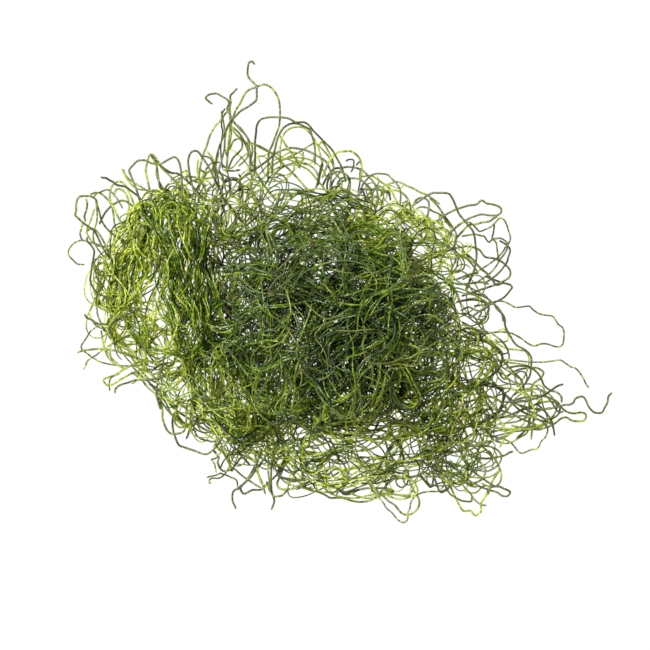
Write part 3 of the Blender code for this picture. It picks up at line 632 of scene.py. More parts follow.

# %% [markdown]
# ## The fringe
# Between the singles and the dense middle the clump frays into many shorter loops and tips.
# Their routes are given one by one as well, and written after the look of each. Their heights can't
# be seen from above, so they are drawn at random within the lowest centimetre. Those on one side
# of the clump are one piece.

# %% Routes of the fringe
FRINGE = {
    "top": """
fresh_green 184,170 190,178 198,182 206,180 212,186
olive 176,172 186,180 196,190 204,200
olive 206,166 202,178 196,188 190,198
fresh_green 214,176 204,178 192,180 182,186
near_black 221,187 220,196 226,203 232,211 239,219 243,223
near_black 232,178 237,180 240,177 238,173
grey_green 214,194 213,203 212,212 213,221 216,230 219,239
grey_green 220,198 217,208 214,217 217,226 222,239 226,248
fresh_green 192,187 195,194 194,203 192,212
olive 184,184 188,192 187,201 183,208
olive 178,178 179,187 178,197 180,206 181,212
fresh_green 199,178 204,187 205,197 202,206 203,212
olive 218,181 210,187 205,194 203,203
olive 233,212 236,221 232,230 225,234 220,232
grey_green 245,222 250,216 257,206 262,194 263,187
fresh_green 243,221 248,212 254,203 256,196
fresh_green 237,194 243,202 250,209 254,213
grey_green 236,191 241,187 247,186 254,198 258,203
fresh_green 198,179 207,171 213,169 216,161 218,150
dark_green 242,177 250,172 259,166 268,159
dashed 237,88 233,92 230,95 230,100 229,112 231,130 228,150
near_black 225,108 222,112 221,117 221,125 222,131 220,148 222,168
fresh_green 281,168 280,150 281,141 283,135 287,130 293,127 303,127 311,134 318,146 322,162
grey_green 236,182 248,172 255,167 261,164 268,159 273,154 280,150 287,148 291,147 299,148 307,150
    315,154 320,157 325,160 328,165 331,174 330,190
fresh_green 262,180 272,166 284,159 298,157 312,160 322,168 328,180
olive 268,186 276,172 288,164 302,162 314,168 320,180
fresh_green 246,196 262,178 276,168 292,164 306,168 316,178 330,196
olive 256,144 264,148 272,153 284,164 296,176 308,190
fresh_green 318,146 322,141 328,150 333,160 334,172
olive 232,126 240,134 247,148 252,164 262,182 276,200
grey_green 224,182 226,178 233,177 239,180 238,188 230,196 222,208
near_black 222,214 221,198 222,186 227,180 236,180 242,188 240,200
dark_green 221,188 223,198 232,208 242,221 250,236
fresh_green 214,214 222,202 232,196 240,202 242,214 236,226 226,228
olive 229,148 233,140 240,138 242,146 238,152 232,158 226,172
fresh_green 206,150 212,158 216,170 218,186 214,202
dashed 222,169 232,170 240,169
fresh_green 251,142 262,148 273,153
fresh_green 280,135 286,145 294,156 300,168
olive 314,142 306,147 296,153 284,158
olive 313,140 322,148 330,158 334,168
dark_green 323,163 320,174 318,185
dark_green 221,110 224,128 224,146 220,164 212,188
olive 229,102 230,120 226,130 224,144 227,158
olive 234,122 241,128 249,140 252,148 250,164 252,182
fresh_green 232,128 236,134 246,142 248,150 246,158 238,166
olive 198,168 206,172 214,168 222,176 224,188
""",
    "upper_right": """
dark_green 414,204 417,199 423,197 429,201 429,210 427,217 420,224
olive 413,214 419,207 427,207 434,211 441,214 448,222 454,228 457,234 457,243
olive 430,197 438,205 444,214 450,222 454,227
fresh_green 408,201 405,210 410,219 418,225 428,225 438,229 443,227 442,220 439,214
fresh_green 417,227 425,229 434,234 439,241
dark_green 432,252 441,252 450,250 457,243
olive 457,234 455,245 457,257 453,267 450,274
fresh_green 457,244 463,248 467,255 472,261 478,265 485,272
dark_green 452,274 457,267 459,258 463,255 472,263 479,272
dark_green 438,277 445,279 457,279 470,274 479,273
olive 452,282 461,284 472,283 482,282 490,284
olive 337,184 340,179 344,177 349,179 349,184 348,189 352,193 357,196
fresh_green 333,171 339,177 342,184 337,192 330,200
olive 342,166 339,173 333,181 331,189 327,198
dark_green 300,193 304,189 314,189 317,184 320,170 323,160
near_black 361,193 363,190 366,198 367,202
dark_green 360,188 367,189 378,189 386,191 389,193 391,200
fresh_green 359,177 366,183 371,189 372,198 375,207
fresh_green 377,178 382,181 389,188 391,196
fresh_green 346,192 356,196 366,204 374,214
fresh_green 322,178 329,161 332,157 338,152 345,151 351,151 356,154 360,159 362,170 360,182
near_black 346,161 348,159 353,159 354,162 353,168 351,172
near_black 356,165 360,161 362,165 361,168 360,173 360,182 358,192
grey_green 322,186 327,176 334,168 341,167 348,166 356,167 363,170 369,176 374,182 377,190 378,198
    377,205 372,216
grey_green 358,196 362,186 365,181 371,175 376,173 381,173 388,174 392,178 396,182 400,188 401,195
    400,208
fresh_green 362,176 372,175 381,181 390,187 396,198 404,212
olive 386,184 398,181 407,185 414,188 421,192 428,195 440,204
dark_green 330,198 327,186 330,176 338,171 348,176 350,186 346,198
olive 334,190 344,180 356,178 366,184 372,196 370,210
fresh_green 374,206 384,192 398,190 408,198 412,212
""",
    "right": """
near_black 470,384 481,385 492,384 499,387 504,392 502,406 495,415 483,422 470,424
near_black 472,386 485,386 497,388 506,395 503,405
grey_green 504,392 512,402 520,410 529,415 539,420 550,423 554,428 555,435
dark_green 470,418 481,413 492,417 503,418 519,412 528,407
fresh_green 470,425 490,428 514,429 534,429 548,424
olive 487,427 503,424 517,422 529,417 541,411 552,408
dark_green 541,389 552,402 559,412 565,412
fresh_green 475,390 483,400 489,409
fresh_green 481,354 490,359 499,365 512,373 520,379
olive 490,358 498,368 503,378 508,379
dark_green 530,415 530,424 525,432 517,439
grey_green 457,302 467,300 478,300 491,304
olive 461,311 469,307 476,310 482,311 488,307 492,304
dark_green 462,313 469,314 476,318 481,327 487,333 480,339
olive 480,311 482,313 479,318 482,322 485,332
near_black 463,322 472,327 480,332 487,333
dark_green 461,329 470,333 480,334 488,332
olive 467,334 468,340 472,345 478,342 482,334
fresh_green 488,333 498,332 504,329 509,334 508,341 499,342 496,339
olive 488,338 493,345 496,352 499,359 503,367
dark_green 482,334 479,342 480,351 483,359
grey_green 500,339 505,344 509,352 503,354 498,352 492,342
fresh_green 487,345 489,352 494,358 503,362 512,363 528,365
olive 455,240 462,232 469,225 476,224 483,222 490,221 494,218 498,216
dark_green 495,222 495,226 494,233 493,238 501,238 505,240 508,244 506,252 498,262
olive 462,236 475,234 480,235 485,236 487,239 490,242 493,239 497,242 498,248 499,255 500,261 492,272
    478,282
dark_green 500,240 508,245 511,250 509,257 507,263 498,274 484,284
grey_green 462,250 473,259 480,267 487,273 493,280 497,285 504,283 512,285
near_black 486,276 496,280 505,283 510,284 513,287 511,290 507,295 502,299 490,304 474,306
olive 506,378 520,370 536,368 542,370 545,373 542,379 537,382 533,387 533,394 530,406
near_black 538,404 548,414 553,422 554,427 555,436
olive 530,396 531,416 531,421 530,428 527,434 522,437 517,440 514,442 507,444 502,443 498,442 493,439
    484,430
near_black 478,378 486,382 496,385 503,391 504,402 500,413 490,420 474,428
dark_green 482,372 496,384 510,398 524,408 540,416 554,424
fresh_green 478,398 492,424 508,430 528,428 546,424 556,416
olive 468,418 486,410 506,412 524,420 544,428
fresh_green 486,396 496,408 500,420 506,434 500,448
fresh_green 486,356 498,366 508,378 520,386 530,396 544,402
olive 496,346 502,352 504,360 512,370 522,380 526,392
dark_green 488,372 484,388 488,404 496,418 494,434
fresh_green 492,340 506,348 518,350 527,352 530,362 526,376 518,388
grey_green 510,402 524,398 538,396 550,398 560,404 560,414 552,420
olive 514,396 526,390 540,390 552,396 558,408 552,418 540,422
olive 484,330 496,336 506,346 510,358 504,366
grey_green 470,292 484,296 494,303 502,312 504,322
""",
    "bottom_right": """
dark_green 385,439 389,452 395,461 403,464
grey_green 385,432 397,439 402,449 404,461
near_black 380,462 393,461 402,464 407,462 415,458 425,452 435,451 445,452 452,454
near_black 389,467 401,464 412,463 422,461 429,467 438,463 449,464 459,470
near_black 425,457 431,465 435,471 442,473
dark_green 422,448 425,455 429,465 427,472 415,477 403,479
olive 360,457 367,458 370,461 367,463 360,463
olive 360,468 373,465 387,461 393,461
grey_green 360,484 377,484 393,480 407,479 419,477 425,482 431,488 438,485 451,482
dark_green 388,425 393,434 385,439
dark_green 418,421 422,429 413,434 404,438
olive 410,417 420,414 427,418 421,423
dashed 442,480 450,494 456,498 461,501 466,502 472,502 472,497
olive 487,506 482,505 478,503 474,499 470,493 465,488 462,482 460,473 450,460
near_black 420,474 428,485 431,488 433,485 434,476
grey_green 432,470 437,485 439,490 441,493 445,492 449,489 452,478
dashed 346,484 342,494 350,495 358,491 367,489 378,489 387,489 394,492 392,493 385,491
fresh_green 322,486 330,494 342,498 356,499 370,496 386,494 404,496 412,493 418,478
olive 336,490 350,494 366,499 380,496 394,495 409,497 411,488
fresh_green 404,478 414,482 418,492 412,497 400,500 386,496
olive 470,450 480,462 486,470 482,480 470,484 456,480
dark_green 480,446 494,448 502,456 498,466 486,472 472,468
fresh_green 440,456 456,470 474,478 490,478 500,472
olive 458,440 476,446 490,442 504,438 516,430
fresh_green 464,492 476,494 484,487 491,488 488,496
olive 498,464 502,474 500,484 492,488 482,484
fresh_green 448,470 460,478 470,486 478,488
""",
    "bottom_left": """
olive 301,460 313,460 324,460
olive 301,462 313,462 324,461
dark_green 287,461 279,469 278,473 282,478 293,480 304,481
near_black 338,488 344,494 352,492 360,490
dark_green 329,438 335,449 338,458 345,467 348,480 342,487 331,495
dark_green 348,437 348,449 349,460 357,467 360,471
olive 331,441 322,445 310,447 299,452 295,461 298,472
near_black 320,433 327,442 331,452 327,460 318,467 317,472 322,477
grey_green 302,473 304,484 306,491
dashed 266,482 270,492 274,497 277,497 282,496 285,493 288,490 293,489 302,484 310,474
grey_green 290,452 282,465 278,471 277,475 280,478 283,479 290,481 295,482 306,478
olive 286,462 278,481 277,484 278,488 282,490 287,490 298,488 310,482
olive 220,446 230,466 235,470 239,474 244,478 247,480 253,484 258,487 261,488
dashed 206,478 210,477 215,476 220,474 222,475 226,476 230,478 233,479 236,481 237,484 237,487
dark_green 237,491 241,487 244,484 247,481 251,477 254,472 258,460 262,448
dashed 256,470 262,484 264,491 265,495
dashed 212,450 218,458 217,462 218,466 220,470 223,472 227,472
grey_green 234,450 226,458 223,462 221,466 220,470 226,472 233,468 242,456
fresh_green 224,448 228,462 231,472 234,466 238,454
near_black 196,418 193,427 194,432 197,437 202,440 207,441 212,442 222,440
fresh_green 252,446 256,460 258,474 262,484 270,488
olive 266,440 268,456 268,472 270,488
fresh_green 276,444 274,458 276,472 286,484 300,488 314,490
near_black 236,452 243,458 250,466
""",
    "left": """
dashed 85,198 86,202 86,205 85,210 83,216 84,220 81,225 80,229 79,233 80,237 82,241
dark_green 89,194 94,192 98,192 102,190 106,189 110,191 116,198 122,208
olive 92,196 98,192 109,202 112,212 114,226 120,240
fresh_green 92,258 94,266 97,273 97,280 97,288 96,294 100,306
grey_green 106,272 102,283 101,287 98,292 96,296 95,302 96,308 97,315 99,320 104,332
dark_green 118,374 110,378 108,386 109,389 108,391
dashed 130,372 141,381 144,385 149,390 154,394 156,398 160,408
olive 95,198 96,208 96,220 92,236 96,248 104,258
fresh_green 94,208 90,220 86,232 94,244 106,246 116,242
olive 84,232 90,228 97,232 104,244 110,258 114,272
fresh_green 112,196 116,188 124,192 128,204 126,218 120,230
grey_green 98,224 104,212 112,204 122,200 132,206 138,218
olive 122,168 124,174 130,180 140,186 152,194 164,204
fresh_green 121,168 126,178 136,188 150,190 162,194
dark_green 156,166 158,178 160,188 168,190 172,198
olive 150,154 156,165 156,175 162,187 170,193
dark_green 150,154 160,165 170,172 177,173 188,180
fresh_green 170,181 172,178 178,175 185,170 188,172
fresh_green 198,158 197,170 200,182
olive 200,155 210,158 214,170 216,184
olive 172,182 178,178 188,176 198,178 206,186
fresh_green 134,372 146,386 158,398 168,412 180,424 196,432
olive 142,372 152,388 164,402 172,416 186,424 202,424
olive 148,384 160,392 172,408 186,418 204,430 218,436
fresh_green 128,352 138,368 150,380 166,386 182,392
fresh_green 100,330 102,344 106,356 114,364 126,370
fresh_green 100,322 106,334 112,342 122,352 134,356 144,366 156,380
fresh_green 106,320 112,332 120,342 130,350 138,360 150,374 166,392
olive 130,366 142,378 156,390 170,404 180,420 192,432
grey_green 150,372 162,364 158,380 156,394 160,410
fresh_green 160,390 170,400 176,410 174,422 180,428 190,424
""",
}
FRINGE_HEIGHTS = (1.5, 10.0)


def fringe_path(route, rng):
    """A fringe filament's path, at heights that are drawn at random."""
    heights = [rng.uniform(*FRINGE_HEIGHTS) * MM for _ in range(3)]
    return stray_path(heights, route)


rng = random.Random(SEED)
for side, text in FRINGE.items():
    strands = [Strand(fringe_path(route, rng), *LOOKS[look]) for (look,), route in read_routes(text)]
    piece = finish_piece("fringe_" + side, strands, SINGLE, "stray_filaments")
    print(piece.name, len(strands), "filaments,", triangles(piece), "triangles")

# %% [markdown]
# ## The shape of the dense middle
# The middle is made of overlapping cushions of filaments, much as in the frame, with thin
# skirts of looser ones round its edge. Each has its centre and radii in the photograph, its
# height, the length of filament in it, in metres, how closely that follows the grain, how
# strongly it waves, its tone, its bloom, which is pale bloom and painted sheen, and how many
# companions run beside each filament. A cushion sinks a little below the surface, so that it
# spreads at its foot. The white surface shows between the filaments in some thin places, which
# most filaments go round.

# %% Cushions of filaments
Cushion = namedtuple("Cushion", "centre_px radii_px height length lean wave tone bloom company")
TANGLE_HEIGHT = 0.034
CUSHION_SINK = 0.33
EDGE_HEIGHT = 3.0 * MM
EDGE_FADE = 0.25
CUSHIONS = {
    "core": Cushion((332, 322), (114, 98), TANGLE_HEIGHT, 29.0, 0.5, 1.0, 0.62, 0.07, 2),
    "left": Cushion((170, 284), (66, 88), 0.021, 10.4, 2.5, 0.7, 0.64, 0.0, 2),
    "lower_left": Cushion((229, 390), (68, 52), 0.019, 5.8, 1.6, 0.9, 0.55, 0.0, 2),
    "top": Cushion((284, 214), (84, 40), 0.022, 2.8, 0.8, 1.0, 0.48, 0.08, 1),
    "upper_right": Cushion((400, 250), (64, 42), 0.021, 2.8, 0.8, 1.0, 0.72, 0.04, 1),
    "right": Cushion((443, 385), (54, 53), 0.020, 3.9, 0.6, 1.0, 0.56, 0.05, 1),
    "bottom": Cushion((362, 434), (104, 42), 0.015, 3.7, 1.6, 0.9, 0.57, 0.04, 1),
    "skirt_lower_left": Cushion((256, 450), (34, 20), 0.010, 0.4, 1.6, 0.9, 0.55, 0.07, 0),
    "skirt_bottom": Cushion((334, 479), (62, 15), 0.009, 0.9, 1.8, 0.9, 0.56, 0.07, 1),
    "skirt_bottom_right": Cushion((458, 458), (38, 28), 0.009, 0.8, 1.0, 1.0, 0.51, 0.08, 0),
    "skirt_right": Cushion((514, 408), (38, 34), 0.010, 0.5, 1.0, 1.0, 0.50, 0.1, 0),
    "skirt_right_top": Cushion((466, 300), (22, 34), 0.010, 0.3, 1.0, 0.8, 0.50, 0.1, 0),
    "skirt_top": Cushion((262, 166), (46, 18), 0.012, 0.2, 1.2, 0.9, 0.50, 0.1, 0),
    "skirt_upper": Cushion((356, 194), (50, 16), 0.012, 0.2, 1.0, 0.9, 0.48, 0.1, 0),
    "skirt_upper_left": Cushion((208, 184), (26, 20), 0.012, 0.4, 1.0, 0.9, 0.42, 0.15, 1),
    "neck": Cushion((231, 276), (28, 46), 0.016, 1.5, 1.2, 0.9, 0.40, 0.05, 1),
}
THIN_PLACES = (
    ((148, 312), (38, 36)), ((124, 340), (28, 22)), ((156, 358), (34, 20)), ((156, 182), (36, 16)),
    ((300, 182), (40, 18)), ((362, 192), (26, 12)), ((128, 194), (24, 14)), ((490, 472), (24, 20)),
    ((376, 450), (26, 16)), ((444, 204), (30, 16)), ((324, 444), (26, 12)), ((112, 392), (22, 12)),
    ((200, 442), (32, 18)), ((96, 256), (16, 26)), ((492, 256), (18, 26)), ((226, 216), (20, 24)),
    ((486, 398), (12, 12)), ((430, 440), (22, 12)), ((524, 374), (20, 16)), ((508, 432), (12, 10)),
    ((470, 372), (18, 22)), ((446, 462), (18, 12)), ((418, 254), (18, 16)),
)


def cushion_shape(cushion):
    """Centre and radii of a cushion, in metres."""
    rise = cushion.height * (1 + CUSHION_SINK) / 2
    x, y = plan(cushion.centre_px)
    across = [radius * METRES_PER_PIXEL for radius in cushion.radii_px]
    return np.array((x, y, cushion.height - rise)), np.array((*across, rise))


def roof(shape, places):
    """How high a cushion is over each place, falling to a thin edge outside it."""
    centre, radii = shape
    depth = np.linalg.norm((places[:, :2] - centre[:2]) / radii[:2], axis=1)
    dome = centre[2] + radii[2] * np.sqrt(np.clip(1 - depth ** 2, 0, 1))
    fade = np.clip((depth - 1) / EDGE_FADE, 0, 1)
    return dome * (1 - fade) + EDGE_HEIGHT * fade


SHAPES = {name: cushion_shape(cushion) for name, cushion in CUSHIONS.items()}
print("filament in the middle, in metres:", sum(cushion.length for cushion in CUSHIONS.values()))

# %% [markdown]
# ## Which way the filaments run
# The clump has a grain. On the left the filaments hang side by side, at the lower left they
# sweep down to the right, and along the bottom they lie nearly flat. A few headings are noted
# over the photograph, 0 to the right and 90 up the page, and any place between them takes a
# blend of the nearest. Headings are doubled while they are blended, because a filament has no
# front or back.

# %% The grain of the clump
GRAIN = (
    (105, 215, 110), (120, 260, 75), (110, 300, 85), (120, 340, 115), (150, 230, 80), (150, 280, 85),
    (150, 320, 80), (180, 220, 95), (185, 270, 95), (180, 320, 100), (215, 220, 95), (215, 270, 105),
    (215, 320, 100), (220, 360, 105), (150, 375, 125), (170, 400, 130), (200, 420, 140), (230, 440, 150),
    (200, 380, 110), (240, 400, 120), (270, 420, 150), (260, 360, 80), (250, 300, 90), (250, 250, 70),
    (240, 200, 75), (230, 150, 80), (260, 170, 60), (300, 165, 10), (340, 180, 160), (380, 190, 150),
    (280, 200, 45), (310, 215, 20), (350, 215, 170), (390, 215, 155), (420, 230, 140), (450, 230, 130),
    (290, 250, 40), (330, 240, 175), (370, 250, 170), (410, 260, 30), (440, 280, 140), (300, 300, 60),
    (340, 290, 150), (380, 300, 20), (420, 310, 10), (460, 300, 160), (300, 340, 20), (340, 350, 80),
    (380, 340, 10), (420, 340, 40), (460, 340, 120), (300, 390, 60), (340, 390, 80), (380, 380, 60),
    (420, 380, 30), (460, 380, 60), (500, 370, 130), (490, 400, 60), (520, 390, 150), (510, 420, 20),
    (480, 440, 40), (450, 440, 20), (300, 440, 150), (340, 450, 170), (380, 450, 0), (420, 450, 20),
    (320, 480, 160), (360, 490, 175), (400, 480, 5), (440, 470, 20),
)
GRAIN_PLACES = np.array([plan((x, y)) for x, y, _ in GRAIN])
GRAIN_DOUBLED = np.array([(math.cos(math.radians(2 * turn)), math.sin(math.radians(2 * turn)))
                          for _, _, turn in GRAIN])
GRAIN_REACH = 6 * MM


def grain_at(points):
    """The heading of the grain at each point, as level unit vectors."""
    apart = ((points[:, None, :2] - GRAIN_PLACES[None]) ** 2).sum(2)
    weights = 1 / (apart + GRAIN_REACH ** 2) ** 3
    doubled = weights @ GRAIN_DOUBLED
    turn = np.arctan2(doubled[:, 1], doubled[:, 0]) / 2
    return np.stack([np.cos(turn), np.sin(turn), np.zeros(len(turn))], 1)


print("headings noted:", len(GRAIN))

# %% [markdown]
# ## Filaments that wander
# A filament grows on through the clump until it meets the edge and turns back in an open loop.
# Each one is walked in short steps, all those of a cushion together. Its bend drifts at random,
# it leans towards the grain, and it kinks now and then. Where it has gone far enough out it
# turns until it heads inwards, and how far that is, is drawn anew for each loop, which gives the
# clump its frayed edge. It also drifts up and down between the surface and the roof, mostly near
# the roof, and dives before a loop, so that the loops inside the clump lie under their
# neighbours.

# %% Walk the filaments of a cushion
WALK_STEP = 0.0006
SURFACE_CLEARANCE = FILAMENT_DIAMETER / 2
BEND_MEMORY = 6 * MM
LEVEL_BEND = 1 / (15 * MM)
CRIMP_MEMORY = 1.3 * MM
CRIMP_BEND = 1 / (13 * MM)
SLANT = 0.24
HEED = 0.85
LEAN_BEND = 1 / (12 * MM)
HEIGHT_MEMORY = 14 * MM
CLIMB_LENGTH = 3.5 * MM
WEAVE_MEMORY = 4 * MM
WEAVE = 1.8 * MM
PITCH_LENGTH = 3 * MM
STEEPEST = 0.6
LEVEL_DRIFT = 0.6
CRUST = 0.55
DIVE = 0.65
DIVE_FROM = 0.65
KINK_SPACING = 11 * MM
KINK_ANGLE = 0.4
START_SPREAD = 0.5
START_FLATNESS = (1, 1, 0.3)
CURL_SPREAD = 0.45
LOOK_AHEAD = 1.6 * MM
STILL_OUTWARD = -0.1
AIM_SPREAD = 0.7
LONG_WAY_SHARE = 0.2
LONG_WAY_DEPTH = 0.95
LOOP_RADII = (1.6 * MM, 4.5 * MM)
WIDEST_LOOP = 0.4
ARRIVED = 0.85
FARTHEST = 1.3
SHORTEST = 6 * MM
ASIDE_BEND = 1 / (2.8 * MM)
TINY = 1e-12


def turned(flat, angles):
    """Level vectors, each turned to the left by its own angle."""
    x, y = flat[:, 0], flat[:, 1]
    return np.stack([x * np.cos(angles) - y * np.sin(angles), x * np.sin(angles) + y * np.cos(angles)], 1)


def unit(vectors):
    """Vectors brought to length 1."""
    return vectors / np.maximum(np.linalg.norm(vectors, axis=1), TINY)[:, None]


def cross_level(first, second):
    """How far the second vector turns to the left of the first, seen from above."""
    return first[:, 0] * second[:, 1] - first[:, 1] * second[:, 0]


def walk(shape, count, steps, cushion, reaches, rng):
    """The paths of a number of filaments that stay roughly inside a cushion."""
    centre, radii = shape
    angle = rng.uniform(0, 2 * math.pi, count)
    out = np.sqrt(rng.uniform(0, 1, count)) * reaches[1]
    place = np.stack([centre[0] + radii[0] * out * np.cos(angle),
                      centre[1] + radii[1] * out * np.sin(angle), np.zeros(count)], 1)
    level = rng.uniform(0, 1, count)
    place[:, 2] = SURFACE_CLEARANCE + level ** CRUST * (roof(shape, place) - SURFACE_CLEARANCE)
    ahead = grain_at(place) * rng.choice([-1, 1], count)[:, None]
    ahead = unit(ahead + rng.normal(0, START_SPREAD, (count, 3)) * START_FLATNESS)
    curl = rng.lognormal(0, CURL_SPREAD, count) * cushion.wave
    bend = rng.normal(0, LEVEL_BEND, count) * curl
    keep = 1 - WALK_STEP / BEND_MEMORY
    stir = math.sqrt(1 - keep ** 2)
    crimp = np.zeros(count)
    slant = rng.normal(0, SLANT, count)
    heeds = rng.random(count) < HEED
    keep_crimp = 1 - WALK_STEP / CRIMP_MEMORY
    stir_crimp = math.sqrt(1 - keep_crimp ** 2)
    weave = np.zeros(count)
    keep_weave = 1 - WALK_STEP / WEAVE_MEMORY
    stir_weave = math.sqrt(1 - keep_weave ** 2)
    reach = rng.uniform(*reaches, count)
    turning = np.zeros(count, bool)
    aim = np.zeros((count, 2))
    spin = np.zeros(count)
    paths = [place.copy()]
    for _ in range(steps):
        bend = bend * keep + rng.normal(0, LEVEL_BEND, count) * curl * stir
        crimp = crimp * keep_crimp + rng.normal(0, CRIMP_BEND, count) * stir_crimp
        kink = (rng.random(count) < WALK_STEP / KINK_SPACING) * rng.normal(0, KINK_ANGLE, count)
        flat = unit(ahead[:, :2])
        left = np.stack([-flat[:, 1], flat[:, 0], np.zeros(count)], 1)
        up = np.cross(ahead, left)

        # A filament that has gone far enough out starts a loop, which ends when it heads inwards.
        probe = place[:, :2] + flat * LOOK_AHEAD
        offset = (probe - centre[:2]) / radii[:2]
        outward = unit(offset / radii[:2])
        depth = np.linalg.norm(offset, axis=1)
        starts = ~turning & (depth > reach) & ((flat * outward).sum(1) > STILL_OUTWARD)
        inward = -turned(outward, rng.normal(0, AIM_SPREAD, count))
        side = np.where(cross_level(flat, inward) > 0, 1.0, -1.0)
        long_way = (rng.random(count) < LONG_WAY_SHARE) & (depth < LONG_WAY_DEPTH)
        side = np.where(long_way, -side, side)
        radius = np.minimum(rng.uniform(*LOOP_RADII, count), WIDEST_LOOP * radii.min())
        aim = np.where(starts[:, None], inward, aim)
        spin = np.where(starts, side / radius, spin)
        turning |= starts
        arrived = turning & ((flat * aim).sum(1) > ARRIVED)
        reach = np.where(arrived, rng.uniform(*reaches, count), reach)
        turning &= ~arrived

        # Each filament lies at a slant of its own to the grain, so that neighbours cross.
        slant = np.where(arrived, rng.normal(0, SLANT, count), slant)
        grain = turned(grain_at(place), slant)
        across = cross_level(flat, grain) * np.sign((grain * flat).sum(1))
        free = bend + across * cushion.lean * LEAN_BEND + kink / WALK_STEP
        for middle_px, radii_px in THIN_PLACES:
            off = (probe - plan(middle_px)) / (np.array(radii_px) * METRES_PER_PIXEL)
            within = np.clip(1.0 - np.linalg.norm(off, axis=1), 0, 1)
            free += within * heeds * ASIDE_BEND * np.sign(cross_level(flat, off))
        sideways = np.where(turning, spin, free) + crimp

        # The wanted height drifts between the surface and the roof, weaves over and under the
        # neighbours, and falls before a loop.
        drift = rng.normal(0, 1, count) * math.sqrt(WALK_STEP / HEIGHT_MEMORY) * LEVEL_DRIFT
        level = level + drift
        level = np.abs(np.where(level > 1, 2 - level, level))
        dive = np.where(turning, 1, np.clip((depth / reach - DIVE_FROM) / (1 - DIVE_FROM), 0, 1))
        fill = level ** CRUST * (1 - DIVE * dive)
        weave = weave * keep_weave + rng.normal(0, WEAVE, count) * stir_weave
        wanted = SURFACE_CLEARANCE + fill * (roof(shape, place) - SURFACE_CLEARANCE) + weave
        pitch = np.clip((wanted - place[:, 2]) / CLIMB_LENGTH, -STEEPEST, STEEPEST)
        lift = (pitch - ahead[:, 2]) / PITCH_LENGTH

        ahead = unit(ahead + (left * sideways[:, None] + up * lift[:, None]) * WALK_STEP)
        place = place + ahead * WALK_STEP
        place[:, 2] = np.maximum(place[:, 2], SURFACE_CLEARANCE)
        paths.append(place.copy())
    paths = np.stack(paths, 1)
    depths = np.linalg.norm((paths[..., :2] - centre[:2]) / radii[:2], axis=2)
    astray = depths > FARTHEST
    lost = np.where(astray.any(1), astray.argmax(1), paths.shape[1])
    return [path[:end] for path, end in zip(paths, lost) if end > SHORTEST / WALK_STEP]


# %% [markdown]
# ## Filaments that run together
# Wet filaments cling to each other, so most of them run beside a neighbour for part of their
# way. Each one that was walked gets up to two companions, which sway gently to and fro about it.

# %% Walk every cushion and add the companions
STRAND_LENGTH = 0.115
REACHES = (0.55, 1.12)
SHARED_WAY = 0.8
SWAY = 1.1 * MM
SWAY_LENGTH = 4 * MM
SWAY_FLATNESS = (1, 1, 0.5)
BELL_REACH = 2.5


def companion(path, rng):
    """A filament that runs beside another for part of its way."""
    reach = np.arange(-BELL_REACH, BELL_REACH, WALK_STEP / SWAY_LENGTH)
    bell = np.exp(-reach ** 2 / 2)
    noise = rng.normal(0, 1, (len(path) + len(bell) - 1, 3)) / np.linalg.norm(bell)
    sway = np.stack([np.convolve(column, bell, "valid") for column in noise.T], 1)
    beside = path + sway * SWAY * SWAY_FLATNESS
    beside[:, 2] = np.maximum(beside[:, 2], SURFACE_CLEARANCE)
    first = int(rng.uniform(0, 2 - 2 * SHARED_WAY) * len(path))
    return beside[first:first + int(SHARED_WAY * len(path))]


def grow(name, cushion):
    """All the filaments of a cushion, drawn from random numbers of its own."""
    rng = np.random.default_rng((SEED, list(CUSHIONS).index(name)))
    count = max(1, round(cushion.length / STRAND_LENGTH / (1 + cushion.company * SHARED_WAY)))
    leaders = walk(SHAPES[name], count, round(STRAND_LENGTH / WALK_STEP), cushion, REACHES, rng)
    beside = [companion(path, rng) for path in leaders for _ in range(cushion.company)]
    return leaders + [path for path in beside if len(path) > SHORTEST / WALK_STEP]


tangle_paths = {name: grow(name, cushion) for name, cushion in CUSHIONS.items()}
for name, paths in tangle_paths.items():
    print(name, len(paths), "filaments")

# %% [markdown]
# ## Pieces of the dense middle
# The filaments of a cushion are joined into one piece, and those of the core into two, so that
# each is light enough to be edited. Together they stand for the frame's tangle. The filaments are
# painted darker in the middle and on top of the clump, and lighter below and towards its rim:
# painted shade where the light from below can't pass, and painted backlight at the thin rim.

# %% Draw the dense middle
TANGLE_PIECES = {
    "tangle_core_left": ("core", 0, 2),
    "tangle_core_right": ("core", 1, 2),
}
for cushion in list(CUSHIONS)[1:]:
    TANGLE_PIECES[cushion if cushion.startswith("skirt") else "tangle_" + cushion] = (cushion, 0, 1)
TONE_SPREAD = 0.15
BLOOM_AND_SHEEN_SPREAD = 0.08
CELL_CONTRAST = 0.42
DARK_SHARE = 0.27
DARKER = 0.28
BRIGHTEST = 0.74
MOST_BLOOM_AND_SHEEN = 0.8
# Painted light and shade: tones are darkened in the middle, lightened towards the rim, and darkened the
# higher a filament lies.
DARK_MIDDLE = (308, 305), (122, 98)
DARK_REACH = 0.5
PAINTED_RIM_LIGHT_WIDTH = 0.8
PAINTED_RIM_LIGHT = 0.2
TOP_SHADE = 0.12
SHADE_HEIGHT = 12 * MM
HIGHEST_SHADE = 1.5


def painted_light_and_shade(points):
    """How much lighter a filament is painted at each point, from its way out and its height: painted
    backlight towards the rim, painted shade in the middle and higher up.
    """
    middle, radii = DARK_MIDDLE
    off = (points[:, :2] - plan(middle)) / (np.array(radii) * METRES_PER_PIXEL)
    share = np.clip((np.linalg.norm(off, axis=1) - DARK_REACH) / PAINTED_RIM_LIGHT_WIDTH, 0, 1)
    outer = PAINTED_RIM_LIGHT * (share * share * (3 - 2 * share) - 0.5)
    return outer - TOP_SHADE * (np.clip(points[:, 2] / SHADE_HEIGHT, 0, HIGHEST_SHADE) - 0.5)


